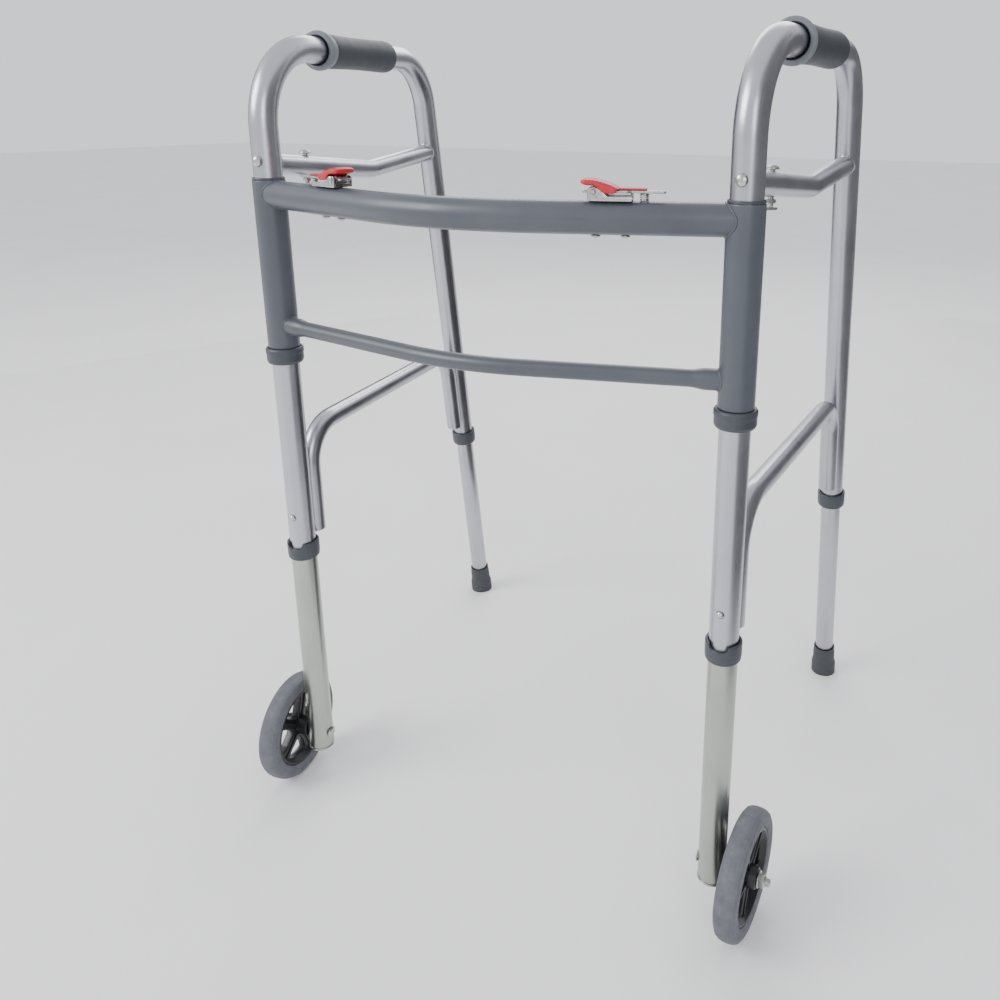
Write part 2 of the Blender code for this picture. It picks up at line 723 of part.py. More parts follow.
def build_rear_leg(frame, side):
    """The rear extension on the slanted rear upright, with its snap button and rubber tip."""
    slope = empty(side + "_rear_leg_axis", frame, (0, REAR_FOOT_Y, 0), (REAR_TILT, 0, 0))
    end = REAR_TUBE_END / math.cos(REAR_TILT)
    build_leg_collar(side + "_rear_leg_collar", slope, end - COLLAR_LAP, 1)
    foot = 0.010
    ring_profile = [
        (SPIGOT_BORE, end + SPIGOT_LENGTH),
        (SPIGOT_R, end + SPIGOT_LENGTH),
        (SPIGOT_R, foot),
        (SPIGOT_BORE, foot),
    ]
    leg = turned(side + "_rear_extension", ring_profile, TUBE_SIDES, "silver", slope)
    leg_holes(leg, slope, side + "_rear_extension", REAR_BUTTON_S, 1)
    tip_profile = [
        (0, foot - GAP),
        (SPIGOT_R + 0.0005, foot - GAP),
        (SPIGOT_R + 0.0005, TIP_HEIGHT),
        (SPIGOT_R + 0.0019, TIP_HEIGHT),
        (0.0152, TIP_HEIGHT - 0.010),
        (0.0152, 0.022),
        (TIP_R, 0.016),
        (TIP_R, -0.008),
        (0, -0.008),
    ]
    tip = turned(side + "_rear_tip", tip_profile, 20, "rubber", slope)
    floor = block_mesh(side + "_floor_cut", (0.1, 0.1, 0.1))
    at = (0, REAR_FOOT_Y, -0.05)
    cut(tip, hide(add(side + "_floor_cut", floor, "zinc", frame, at)))
    build_snap_button(side + "_rear_snap_button", slope, TUBE_R, REAR_BUTTON_S, ALONG_Y)
    return slope


def build_side(root, side, sign):
    """Everything that swings about one hinge axis."""
    at, turn = (sign * HINGE_SPACING / 2, 0, 0), (0, 0, -sign * SPLAY)
    frame = empty(side + "_fold_axis", root, at, turn)
    tube = build_side_tube(frame, side)
    build_grip(frame, side)
    build_braces(frame, side)
    build_side_fasteners(frame, side)
    build_leg_collar(side + "_front_leg_collar", frame, FRONT_TUBE_END - COLLAR_LAP, -1)
    build_snap_button(side + "_front_snap_button", frame, TUBE_R, FRONT_BUTTON_Z, FORWARD)
    spin = build_front_leg(frame, side, sign)
    build_wheel(spin, side, sign)
    slope = build_rear_leg(frame, side)
    at = (0, TUBE_R, REAR_BUTTON_S)
    cut(tube, rod_cutter(side + "_rear_button_hole", BUTTON_R + GAP, 0.008, slope, at, FORWARD))


def centre_on_origin(root):
    """Moves the whole assembly along Y until its box is centred on the origin."""
    bpy.context.view_layer.update()
    graph = bpy.context.evaluated_depsgraph_get()
    ends = []
    for obj in parts.objects:
        if obj.type == "MESH":
            shape = obj.evaluated_get(graph)
            ends += [(shape.matrix_world @ vertex.co).y for vertex in shape.data.vertices]
    root.location.y = -(min(ends) + max(ends)) / 2


assembly = empty("walking_frame_origin")
bar = build_crossbars(assembly)
for side_name, side_sign in SIDES.items():
    build_hinge(assembly, side_name, side_sign)
    bracket_frame = build_latch_bracket(assembly, side_name, side_sign, bar)
    build_lever(side_name, side_sign, bracket_frame)
    build_lever_spring(side_name, bracket_frame)
    build_side(assembly, side_name, side_sign)
centre_on_origin(assembly)
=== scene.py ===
"""The looks of the folding walking frame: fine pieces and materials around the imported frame.

Every piece is drawn in metres in the local frame of the body that it rides on. A side frame's own
frame has its z axis on the hinge, y towards the user and x across the side frame.
"""

import json
from math import atan, atan2, copysign, cos, hypot, pi, radians, sin, sqrt, tan

import bmesh
import bpy
from mathutils import Matrix, Vector


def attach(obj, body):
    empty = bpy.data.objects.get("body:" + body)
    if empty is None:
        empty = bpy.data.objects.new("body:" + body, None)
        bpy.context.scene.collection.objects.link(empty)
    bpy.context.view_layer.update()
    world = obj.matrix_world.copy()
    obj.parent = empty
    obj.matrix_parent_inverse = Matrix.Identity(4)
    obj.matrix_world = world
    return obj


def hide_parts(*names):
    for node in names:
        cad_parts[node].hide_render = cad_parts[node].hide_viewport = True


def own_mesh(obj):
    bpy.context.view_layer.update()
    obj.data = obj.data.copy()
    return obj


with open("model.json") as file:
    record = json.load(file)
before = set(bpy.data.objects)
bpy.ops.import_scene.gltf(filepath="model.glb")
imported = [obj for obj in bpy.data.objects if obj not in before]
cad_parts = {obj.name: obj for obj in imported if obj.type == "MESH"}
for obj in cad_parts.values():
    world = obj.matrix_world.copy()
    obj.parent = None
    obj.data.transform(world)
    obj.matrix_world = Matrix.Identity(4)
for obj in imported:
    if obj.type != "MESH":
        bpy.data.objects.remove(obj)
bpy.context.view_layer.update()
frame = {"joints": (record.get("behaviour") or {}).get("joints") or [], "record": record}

RECORD = frame["record"]
JOINTS = {joint["name"]: joint for joint in frame["joints"]}
MOUNTS = {mount["name"]: mount for mount in RECORD["mounts"]}
BODY_OF = {node: body for body, nodes in RECORD["behaviour"]["bodies"].items() for node in nodes}
SIDES = {"left": -1, "right": 1}

# Sizes shared with the frame, in metres
TUBE_R, TUBE_WALL = 0.0143, 0.0013
BRACE_R, BRACE_WALL = 0.0111, 0.0012
HANDLE_HEIGHT = 0.864
FRONT_BEND_R, REAR_BEND_R = 0.08, 0.068
FRONT_TUBE_END, REAR_TUBE_END, COLLAR_LAP = 0.307, 0.2934, 0.0025
REAR_FOOT_Y, REAR_TILT = 0.4655, atan(0.158)
BAR_Z, BAR_BOW, BAR_BEND_R = 0.7185, 0.077, 0.3
LOW_BAR_Z, LOW_BAR_R, LOW_BAR_END_R, LOW_BAR_BOW = 0.58, 0.0079, 0.0098, 0.053
SLEEVE_R, SLEEVE_BORE = 0.0165, 0.015
SLEEVE_TOP, SLEEVE_BOTTOM, BUSHING_TOP = 0.7325, 0.556, 0.7355
SLEEVE_COLLAR_BOTTOM, SLEEVE_COLLAR_R = 0.5385, 0.0197
SPIGOT_R, SPIGOT_BORE, SPIGOT_LENGTH = 0.0125, 0.011, 0.19
LEG_BOTTOM, COLLAR_HEIGHT, COLLAR_R = 0.046, 0.02, 0.0177
FRONT_BUTTON_Z, REAR_BUTTON_S, BUTTON_R = 0.3575, 0.339, 0.0038
HOLE_PITCH, HOLE_COUNT = 0.0254, 5
WHEEL_R, TYRE_WIDTH, RIM_R, AXLE_R = 0.0635, 0.0235, 0.047, 0.004
WHEEL_OFFSET, SPOKES, SPOKE_START = 0.0343, 5, 0.25
REAR_LEG_FOOT, TIP_R, TIP_HEIGHT = 0.01, 0.017, 0.047
GRIP_FRONT, GRIP_REAR, GRIP_R = 0.1, 0.243, 0.0186
UPRIGHT_BOLT_Z, LATCH_Y = 0.752, 0.065
UPPER_BRACE = ((0, 0.003, 0.7488), (0, 0.19, 0.7315), (0, 0.346, 0.7454))
LATCH_BOLT_TOP, LATCH_BOLT_UNDER = 0.7448, 0.7417
LOWER_BRACE_TOP, LOWER_BRACE_END, LOWER_BEND_R = 0.45, 0.3265, 0.045
LEVER_PIVOT, PIVOT_Z, LEVER_PLATE_Z, LEVER_LATCH_Z = 0.1256, 0.7405, 0.7405, 0.722
LEVER_ARM_END, LEVER_STEP, STEP_WIDTH = 0.066, 0.094, 0.0075
PLATE_WIDTH, PLATE_THICK = 0.0135, 0.0022
RIVET_PLACES = {"inner": -0.0015, "outer": -0.0265}
BRACKET_ENDS, BRACKET_SHEET = (-0.0325, 0.005), 0.0015
GAP = 0.0003
HALF_SPAN = abs(JOINTS["right_fold"]["pos_m"][0])

# Faces that meet at more than this angle keep a sharp edge between them.
CREASE = radians(38)

Z_AXIS = Vector((0, 0, 1))


# ---- local frames


def frame_matrix(origin, x, y, z):
    made = Matrix((x, y, z)).transposed().to_4x4()
    made.translation = origin
    return made


def axis_of(joint):
    return Vector(JOINTS[joint]["axis"]).normalized()


def on_floor(joint):
    """The point of the floor under a joint."""
    place = Vector(JOINTS[joint]["pos_m"])
    place.z = 0
    return place


def frame_from(origin, y, z=Z_AXIS):
    return frame_matrix(origin, y.cross(z), y, z)


def side_matrix(side):
    """A side frame's own frame: z up its hinge axis, y rearwards in its plane."""
    return frame_from(on_floor(side + "_fold"), axis_of(side + "_front_button_press"))


def rear_matrix(side):
    """The rear leg's frame: z up the leg from the floor."""
    y, z = -axis_of(side + "_rear_button_press"), -axis_of(side + "_rear_leg_slide")
    return frame_from(MOUNTS[side + "_rear_foot"]["pos_m"], y, z)


def wheel_matrix(side):
    """The wheel's frame: z out along the axle, x up."""
    z = axis_of(side + "_wheel_spin") * SIDES[side]
    return frame_matrix(JOINTS[side + "_wheel_spin"]["pos_m"], Z_AXIS, z.cross(Z_AXIS), z)


def bracket_matrix(side):
    """The lever's frame at floor height under its pivot: x towards the bar's middle."""
    return frame_from(on_floor(side + "_lever_press"), -axis_of(side + "_lever_press"))


CROSS = Matrix.Translation((0, JOINTS["left_fold"]["pos_m"][1], 0))
LOOK_Y = Matrix.Rotation(-pi / 2, 4, "X")
LOOK_BACK_Y = Matrix.Rotation(pi / 2, 4, "X")


def shift(x=0.0, y=0.0, z=0.0):
    return Matrix.Translation((x, y, z))


# ---- mesh makers


def smoothed(mesh):
    mesh.shade_smooth()
    mesh.set_sharp_from_angle(angle=CREASE)
    return mesh


def mesh_of(bm):
    """A new mesh made of this bmesh, which is freed."""
    mesh = bpy.data.meshes.new("mesh")
    bm.to_mesh(mesh)
    bm.free()
    return mesh


def placed(name, data, place=None):
    """A new object in the scene."""
    obj = bpy.data.objects.new(name, data)
    bpy.context.scene.collection.objects.link(obj)
    obj.matrix_world = place or Matrix.Identity(4)
    return obj


def fillet(corners, radius, steps, closed=False):
    """The corners with an arc at each turn, shortened where a side is too short for it."""
    corners = [Vector(corner) for corner in corners]
    count = len(corners)
    path = [] if closed else [corners[0]]
    for index in range(0 if closed else 1, count if closed else count - 1):
        corner = corners[index]
        before, after = corners[index - 1], corners[(index + 1) % count]
        first, second = before - corner, after - corner
        room = min(first.length, second.length) * 0.48
        first.normalize()
        second.normalize()
        half = first.angle(second) / 2
        if half > radians(88.5) or radius <= 0:
            path.append(corner)
            continue
        reach = min(radius / tan(half), room)
        bend = reach * tan(half)
        centre = corner + (first + second).normalized() * (bend / sin(half))
        start, end = corner + first * reach - centre, corner + second * reach - centre
        sweep = start.angle(end)
        for step in range(steps + 1):
            share = step / steps
            arc = start * sin((1 - share) * sweep) + end * sin(share * sweep)
            path.append(centre + arc / sin(sweep))
    if not closed:
        path.append(corners[-1])
    return path


def circle(steps):
    """The cosine and sine of each step around a circle."""
    angles = [2 * pi * step / steps for step in range(steps)]
    return [(cos(angle), sin(angle)) for angle in angles]


def runs_along(path):
    """How far along a path each of its points lies."""
    runs = [0.0]
    for before, after in zip(path, path[1:]):
        runs.append(runs[-1] + (after - before).length)
    return runs


def mesh_from(verts, faces, uvs):
    """A smooth mesh with one UV pair for each face corner, in metres."""
    mesh = bpy.data.meshes.new("mesh")
    mesh.from_pydata([tuple(v) for v in verts], [], faces)
    layer = mesh.uv_layers.new(name="metres")
    flat = [value for face in uvs for pair in face for value in pair]
    layer.data.foreach_set("uv", flat)
    bm = bmesh.new()
    bm.from_mesh(mesh)
    bmesh.ops.remove_doubles(bm, verts=bm.verts, dist=1e-7)
    bmesh.ops.recalc_face_normals(bm, faces=bm.faces)
    bm.to_mesh(mesh)
    bm.free()
    return smoothed(mesh)


def grid_mesh(rings, lengths, around, loop=False):
    """Quads between rings of equal size. Unless it loops, each end that has any width gets a cap."""
    sides = len(rings[0])
    verts = [point for ring in rings for point in ring]
    faces, uvs = [], []
    last = len(rings) if loop else len(rings) - 1
    for row in range(last):
        following = (row + 1) % len(rings)
        for side in range(sides):
            beside = (side + 1) % sides
            corners = ((row, side), (row, beside), (following, beside), (following, side))
            faces.append([r * sides + s for r, s in corners])
            low, high = lengths[row], lengths[row + 1]
            left, right = around * side / sides, around * (side + 1) / sides
            uvs.append([(low, left), (low, right), (high, right), (high, left)])
    if not loop:
        for row, flip in ((0, True), (len(rings) - 1, False)):
            if (rings[row][0] - rings[row][sides // 2]).length < 1e-7:
                continue
            ring = [row * sides + side for side in range(sides)]
            faces.append(ring[::-1] if flip else ring)
            uvs.append([(lengths[row], 0.0)] * sides)
    return mesh_from(verts, faces, uvs)


def sweep(path, radius, sides=48, wall=None, scales=None, edge=0.0004):
    """A bar, or with a wall an open tube, along a path, with softened ends."""
    path = [Vector(point) for point in path]
    frames, side = [], None
    for index, point in enumerate(path):
        before, after = path[max(index - 1, 0)], path[min(index + 1, len(path) - 1)]
        ahead = (after - before).normalized()
        if side is None:
            side = ahead.orthogonal().normalized()
        side = (side - ahead * side.dot(ahead)).normalized()
        frames.append((point, ahead, side, ahead.cross(side)))
    scales = scales or [1.0] * len(path)

    def ring(index, size, push):
        point, ahead, first, second = frames[index]
        centre = point + ahead * push
        return [centre + (first * c + second * s) * size for c, s in circle(sides)]

    # Each station is a place on the path, how far inside the radius and how far ahead it lies.
    final = len(path) - 1
    stations = [(0, edge, 0.0), (0, 0.0, edge)] + [(index, 0.0, 0.0) for index in range(1, final)]
    stations += [(final, 0.0, -edge), (final, edge, 0.0)]
    runs = runs_along(path)
    lengths = [runs[index] + push for index, inset, push in stations]
    if wall:
        inside = range(final, -1, -1)
        stations += [(index, wall, 0.0) for index in inside]
        lengths += [2 * runs[-1] - runs[max(index - 1, 0)] for index in inside] + [2 * runs[-1]]
    rings = [ring(index, radius * scales[index] - inset, push) for index, inset, push in stations]
    return grid_mesh(rings, lengths, 2 * pi * radius, loop=bool(wall))


def lathe(profile, steps=64, soften=0.0006, arc=3, closed=None):
    """A turned shape about z. A profile that starts and ends off the axis is a closed ring."""
    if closed is None:
        closed = min(r for r, z in profile) > 1e-6
    points = fillet([(r, z, 0) for r, z in profile], soften, arc, closed)
    lengths = runs_along(points)
    lengths.append(lengths[-1] + (points[0] - points[-1]).length)
    rings = []
    for point in points:
        r, z = max(point.x, 0.0), point.y
        rings.append([Vector((r * c, r * s, z)) for c, s in circle(steps)])
    widest = max(point.x for point in points)
    return grid_mesh(rings, lengths, 2 * pi * widest, loop=closed)


def prism(outline, low, high, edge=0.0005, edge_steps=2):
    """A flat outline in x and y raised from low to high, with rounded edges."""
    bm = bmesh.new()
    base = bm.faces.new([bm.verts.new((x, y, low)) for x, y in outline])
    raised = bmesh.ops.extrude_face_region(bm, geom=[base])
    tops = [item for item in raised["geom"] if isinstance(item, bmesh.types.BMVert)]
    bmesh.ops.translate(bm, verts=tops, vec=(0, 0, high - low))
    bmesh.ops.recalc_face_normals(bm, faces=bm.faces)
    rims = [e for e in bm.edges if abs(e.verts[0].co.z - e.verts[1].co.z) < 1e-9]
    if edge:
        shape = {"segments": edge_steps, "profile": 0.5, "affect": "EDGES", "clamp_overlap": True}
        bmesh.ops.bevel(bm, geom=rims, offset=edge, **shape)
    return smoothed(mesh_of(bm))


def rectangle(x0, y0, x1, y1):
    return [(x0, y0), (x1, y0), (x1, y1), (x0, y1)]


def mirrored(points):
    """The same points on the other side of the first axis, in reverse order."""
    return [(x, -y) for x, y in reversed(points)]


def above(height, points):
    """Profile points, given with how far each lies above this height."""
    return [(r, height + rise) for r, rise in points]


def round_outline(points, radius, steps=5):
    """A closed outline in x and y with rounded corners."""
    return [(p.x, p.y) for p in fillet([(x, y, 0) for x, y in points], radius, steps, True)]


def joined(*meshes):
    """Several meshes as one, each given as a mesh or as (mesh, matrix)."""
    bm = bmesh.new()
    for item in meshes:
        mesh, place = item if isinstance(item, tuple) else (item, Matrix.Identity(4))
        copy = mesh.copy()
        copy.transform(place)
        bm.from_mesh(copy)
        bpy.data.meshes.remove(copy)
    return smoothed(mesh_of(bm))


def cutter(mesh, place):
    """A mesh for carve(), which removes it again."""
    return placed("cutter", mesh, place)


def cylinder_cutter(radius, length, place, steps=32):
    """A cylinder along its own z, which cuts a hole."""
    bm = bmesh.new()
    ends = {"radius1": radius, "radius2": radius, "cap_ends": True}
    bmesh.ops.create_cone(bm, segments=steps, depth=length, **ends)
    return cutter(mesh_of(bm), place)


def carve(mesh, cutters, place, operation="DIFFERENCE"):
    """The mesh, which stands at this place, cut by or united with the cutters, which are removed."""
    holder = placed("carving", mesh, place)
    for tool in cutters:
        boolean = holder.modifiers.new("cut", "BOOLEAN")
        boolean.operation = operation
        boolean.solver = "EXACT"
        boolean.object = tool
    bpy.context.view_layer.update()
    graph = bpy.context.evaluated_depsgraph_get()
    made = bpy.data.meshes.new_from_object(holder.evaluated_get(graph))
    for used in (holder, *cutters):
        bpy.data.objects.remove(used)
    return smoothed(made)


def piece(node, mesh, place, material):
    """A fine piece that stands for a CAD node and rides on its body."""
    obj = placed("fine_" + node, mesh, place)
    mesh.name = "fine_" + node
    mesh.materials.clear()
    mesh.materials.append(material)
    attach(obj, BODY_OF[node])
    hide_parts(node)
    return obj


# ---- materials

# The colour mixer's sockets are told apart by number, because their names repeat.
MIX_SHARE, MIX_FIRST, MIX_SECOND, MIX_RESULT = 0, 6, 7, 2


def look(name, rough, metallic=0.0, **sockets):
    """A new material with its Principled shader's constants set."""
    made = bpy.data.materials.new(name)
    made.use_nodes = True
    shader = made.node_tree.nodes["Principled BSDF"]
    shader.inputs["Roughness"].default_value = rough
    shader.inputs["Metallic"].default_value = metallic
    for socket, value in sockets.items():
        shader.inputs[socket.replace("_", " ")].default_value = value
    return made


def feed(made, kind, inputs=None, **settings):
    """A new node in a material, with its inputs linked or set."""
    node = made.node_tree.nodes.new(kind)
    for name, value in settings.items():
        setattr(node, name, value)
    for name, value in (inputs or {}).items():
        if isinstance(value, bpy.types.NodeSocket):
            made.node_tree.links.new(value, node.inputs[name])
        else:
            node.inputs[name].default_value = value
    return node


def coordinates(made, scale, source="Object"):
    """Object coordinates, or a tube's UV in metres along and around it, times one or three scales."""
    place = feed(made, "ShaderNodeTexCoord").outputs[source]
    scale = scale if isinstance(scale, tuple) else (scale, scale, scale)
    return feed(made, "ShaderNodeMapping", {"Vector": place, "Scale": scale}).outputs["Vector"]


def noise(made, scale, detail=3.0, rough=0.5, source="Object"):
    where = coordinates(made, scale, source)
    inputs = {"Vector": where, "Scale": 1.0, "Detail": detail, "Roughness": rough}
    return feed(made, "ShaderNodeTexNoise", inputs).outputs["Fac"]


def cells(made, scale):
    return feed(made, "ShaderNodeTexVoronoi", {"Vector": coordinates(made, scale), "Scale": 1.0})


def ramp(made, value, stops):
    """A value or a colour that goes through these (place, colour) stops."""
    node = feed(made, "ShaderNodeValToRGB", {"Fac": value})
    while len(node.color_ramp.elements) < len(stops):
        node.color_ramp.elements.new(0.5)
    for element, (place, colour) in zip(node.color_ramp.elements, stops):
        element.position = place
        element.color = (*colour, 1.0)
    return node.outputs["Color"]


def grey(level):
    return (level, level, level)


def mixed(made, share, first, second):
    """The first colour, going over to the second as the share goes from 0 to 1."""
    first, second = ((*tone, 1.0) if isinstance(tone, tuple) else tone for tone in (first, second))
    inputs = {MIX_SHARE: share, MIX_FIRST: first, MIX_SECOND: second}
    return feed(made, "ShaderNodeMix", inputs, data_type="RGBA").outputs[MIX_RESULT]


def drive(made, socket, value):
    shader = made.node_tree.nodes["Principled BSDF"]
    made.node_tree.links.new(value, shader.inputs[socket])


def roughen(made, *layers):
    """Bumps, each (height value, strength, depth in metres), one upon another."""
    normal = None
    for height, strength, depth in layers:
        inputs = {"Height": height, "Strength": strength, "Distance": depth}
        if normal:
            inputs["Normal"] = normal
        normal = feed(made, "ShaderNodeBump", inputs).outputs["Normal"]
    drive(made, "Normal", normal)


def smudged(made, low, high, scale=28):
    """Roughness that wanders between two levels, as handling leaves it."""
    clouds = noise(made, scale, 4.0, 0.6)
    drive(made, "Roughness", ramp(made, clouds, [(0.32, grey(low)), (0.72, grey(high))]))


def satin_aluminium(name, bright, dull):
    """Anodised tube: drawn lines that run along it, soft clouding and a few fine scuffs."""
    made = look(name, 0.3, 1.0)
    lines = noise(made, (7, 1500, 1), 3.0, 0.6, "UV")
    clouds = noise(made, (22, 22, 16), 3.0, 0.55)
    clouded = ramp(made, clouds, [(0.3, dull), (0.7, bright)])
    lined = ramp(made, lines, [(0.35, dull), (0.65, bright)])
    tone = mixed(made, 0.3, clouded, lined)
    scuffs = noise(made, (60, 420, 1), 2.0, 0.4, "UV")
    mark = ramp(made, scuffs, [(0.735, grey(0.0)), (0.77, grey(1.0))])
    drive(made, "Base Color", mixed(made, mark, tone, tuple(0.82 * part for part in dull)))
    base = ramp(made, mixed(made, 0.5, clouds, lines), [(0.35, grey(0.27)), (0.65, grey(0.36))])
    drive(made, "Roughness", mixed(made, mark, base, grey(0.46)))
    roughen(made, (lines, 0.1, 0.00006), (noise(made, 900, 2.0), 0.05, 0.00005))
    return made


def slate_paint():
    """Baked powder paint over steel, with orange peel and a few pale specks of wear."""
    made = look("slate_powder_paint", 0.4, Coat_Weight=0.12, Coat_Roughness=0.25)
    dark, pale, worn = (0.058, 0.065, 0.079), (0.074, 0.082, 0.098), (0.13, 0.14, 0.158)
    tone = ramp(made, noise(made, 16), [(0.3, dark), (0.7, pale)])
    specks = ramp(made, noise(made, 520, 1.0), [(0.74, grey(0.0)), (0.8, grey(0.5))])
    drive(made, "Base Color", mixed(made, specks, tone, worn))
    smudged(made, 0.34, 0.46)
    peel, fine = noise(made, 420, 2.0, 0.4), noise(made, 1700, 1.0)
    roughen(made, (peel, 0.22, 0.00012), (fine, 0.1, 0.00005))
    return made


def moulded(name, dark, pale, rough, grain=900.0, depth=0.0001, strength=0.35, **sockets):
    """Moulded plastic, vinyl or rubber with a fine spark-eroded grain."""
    made = look(name, sum(rough) / 2, **sockets)
    clouds = noise(made, 30, 4.0, 0.6)
    drive(made, "Base Color", ramp(made, clouds, [(0.3, dark), (0.72, pale)]))
    smudged(made, *rough)
    distance = cells(made, grain).outputs["Distance"]
    fine = noise(made, grain * 2.2, 2.0)
    roughen(made, (distance, strength, depth), (fine, strength * 0.5, depth * 0.6))
    return made


def tyre_rubber():
    """Grey solid rubber with patches of dust and darker marks."""
    made = look("grey_tyre_rubber", 0.62, Specular_IOR_Level=0.35)
    dust = noise(made, 85, 5.0, 0.65)
    dark, middle, dusty = (0.088, 0.092, 0.106), (0.118, 0.123, 0.139), (0.155, 0.159, 0.172)
    tone = ramp(made, dust, [(0.28, dark), (0.6, middle), (0.8, dusty)])
    marks = noise(made, 240)
    marked = ramp(made, marks, [(0.62, grey(0.0)), (0.75, grey(0.35))])
    drive(made, "Base Color", mixed(made, marked, tone, (0.06, 0.063, 0.072)))
    smudged(made, 0.56, 0.74, 60)
    roughen(made, (noise(made, 1100, 2.0), 0.3, 0.0001), (marks, 0.2, 0.00012))
    return made


def plated_steel():
    """Zinc plate: small soft spangles, a few stains and a fine grain."""
    made = look("zinc_plated_steel", 0.3, 1.0)
    dull, bright = (0.44, 0.44, 0.43), (0.56, 0.56, 0.54)
    spangle = ramp(made, cells(made, 330).outputs["Color"], [(0.2, dull), (0.8, bright)])
    stain = ramp(made, noise(made, 70, 4.0), [(0.55, grey(0.0)), (0.8, grey(0.45))])
    drive(made, "Base Color", mixed(made, stain, spangle, (0.42, 0.4, 0.35)))
    smudged(made, 0.24, 0.4, 90)
    roughen(made, (noise(made, 1300, 2.0), 0.12, 0.00006))
    return made


def gloss_plastic(name, dark, pale, rough, coat):
    """Glossy moulding with hair scratches and faint flow marks."""
    made = look(name, sum(rough) / 2, Coat_Weight=coat, Coat_Roughness=0.1)
    drive(made, "Base Color", ramp(made, noise(made, 45, 4.0), [(0.3, dark), (0.7, pale)]))
    smudged(made, *rough, 120)
    scratches = noise(made, (180, 1400, 420), 2.0, 0.4)
    roughen(made, (scratches, 0.06, 0.00008), (noise(made, 300, 2.0), 0.05, 0.0001))
    return made


ANODISED = satin_aluminium("satin_anodised_aluminium", (0.53, 0.525, 0.565), (0.43, 0.43, 0.475))
LEG_METAL = satin_aluminium("leg_satin_aluminium", (0.45, 0.475, 0.435), (0.37, 0.39, 0.355))
PAINT = slate_paint()
COLLAR = moulded("dark_collar_plastic", (0.036, 0.041, 0.05), (0.048, 0.054, 0.065), (0.4, 0.52))
VINYL = moulded("grip_vinyl", (0.026, 0.031, 0.04), (0.037, 0.043, 0.053), (0.5, 0.64), 700.0)
# The guard's pale grey is a painted highlight: it copies bright reflections on the flange rather than the
# plastic's own colour.
GUARD_PAINTED_HIGHLIGHT = moulded("grip_guard_painted_highlight", (0.12, 0.13, 0.146), (0.155, 0.165, 0.18), (0.42, 0.55))
RUBBER = moulded("tip_rubber", (0.032, 0.036, 0.043), (0.046, 0.051, 0.059), (0.55, 0.72), 800.0)
TYRE = tyre_rubber()
HUB = gloss_plastic("black_hub_plastic", (0.004, 0.004, 0.005), (0.008, 0.008, 0.01), (0.34, 0.46), 0.05)
RED = gloss_plastic("red_button_plastic", (0.42, 0.006, 0.014), (0.52, 0.01, 0.02), (0.32, 0.44), 0.08)
ZINC = plated_steel()


# ---- front cross frame


def rear_y(z):
    """Where the rear upright's axis stands at height z, in a side frame's plane."""
    return REAR_FOOT_Y - z * tan(REAR_TILT)


def cope_curve(at, along, radius, post, post_axis, post_radius, steps=48):
    """The closed curve where a round bar meets a round post, both given by a point and an axis."""
    at, along, post = Vector(at), Vector(along).normalized(), Vector(post)
    post_axis = Vector(post_axis).normalized()
    side = along.cross(post_axis).normalized()
    up = side.cross(along)
    flat = along - post_axis * along.dot(post_axis)
    curve = []
    for c, s in circle(steps):
        start = at + (side * c + up * s) * radius
        away = start - post
        away -= post_axis * away.dot(post_axis)
        square, linear = flat.length_squared, 2 * flat.dot(away)
        rest = away.length_squared - post_radius**2
        root = sqrt(max(linear * linear - 4 * square * rest, 0.0))
        curve.append(start + along * ((root - linear) / (2 * square)))
    return curve


def bead(curve, size=0.0016, ripple=0.0034, closed=True):
    """A weld bead along a curve, with the small overlapping ridges that a hand weld has."""
    points = curve + [curve[0]] if closed else curve
    dense = []
    for first, second in zip(points, points[1:]):
        pieces = max(1, round((second - first).length / (ripple / 5)))
        dense += [first.lerp(second, step / pieces) for step in range(pieces)]
    dense.append(points[-1])
    scales = [1.0 + 0.16 * abs(sin(pi * run / ripple)) for run in runs_along(dense)]
    return sweep(dense, size, 10, None, scales, 0.0001)


def bar_corners(bow, height):
    return [(-HALF_SPAN, 0, height), (0, -bow, height), (HALF_SPAN, 0, height)]


def crossbar(node, path, radius, bow, height, end_radius, scales=None, bead_size=0.001):
    """A painted bar, its ends coped to the sleeves and welded there."""
    tube = sweep(path, radius, 56, None, scales)
    ends, beads = [], []
    for sign in (-1, 1):
        post = Vector((sign * HALF_SPAN, 0, height))
        place = CROSS @ Matrix.Translation(post)
        ends.append(cylinder_cutter(SLEEVE_R, 0.2, place, 96))
        along = Vector((-sign * HALF_SPAN, -bow, 0))
        curve = cope_curve(post, along, end_radius, post, (0, 0, 1), SLEEVE_R)
        beads.append(bead(curve, bead_size))
    tube = carve(tube, ends, CROSS)
    piece(node, joined(tube, *beads), CROSS, PAINT)


def build_crossbars():
    path = fillet(bar_corners(BAR_BOW, BAR_Z), BAR_BEND_R, 28)
    crossbar("upper_crossbar", path, TUBE_R, BAR_BOW, BAR_Z, TUBE_R)
    low_path = fillet(bar_corners(LOW_BAR_BOW, LOW_BAR_Z), BAR_BEND_R, 28)
    flare, shares = LOW_BAR_END_R / LOW_BAR_R, [0.0, 0.14, 0.155, 0.17, 0.185, 0.2, 0.215]
    widths = [flare + (1 - flare) * (3 - 2 * t) * t * t for t in (0, 0, 0.2, 0.4, 0.6, 0.8, 1.0)]
    first, last = low_path[0], low_path[-1]
    path = [first.lerp(low_path[1], share) for share in shares] + low_path[1:-1]
    path += [last.lerp(low_path[-2], share) for share in reversed(shares)]
    scales = widths + [1.0] * (len(low_path) - 2) + widths[::-1]
    crossbar("lower_crossbar", path, LOW_BAR_R, LOW_BAR_BOW, LOW_BAR_Z, LOW_BAR_END_R, scales, 0.0009)


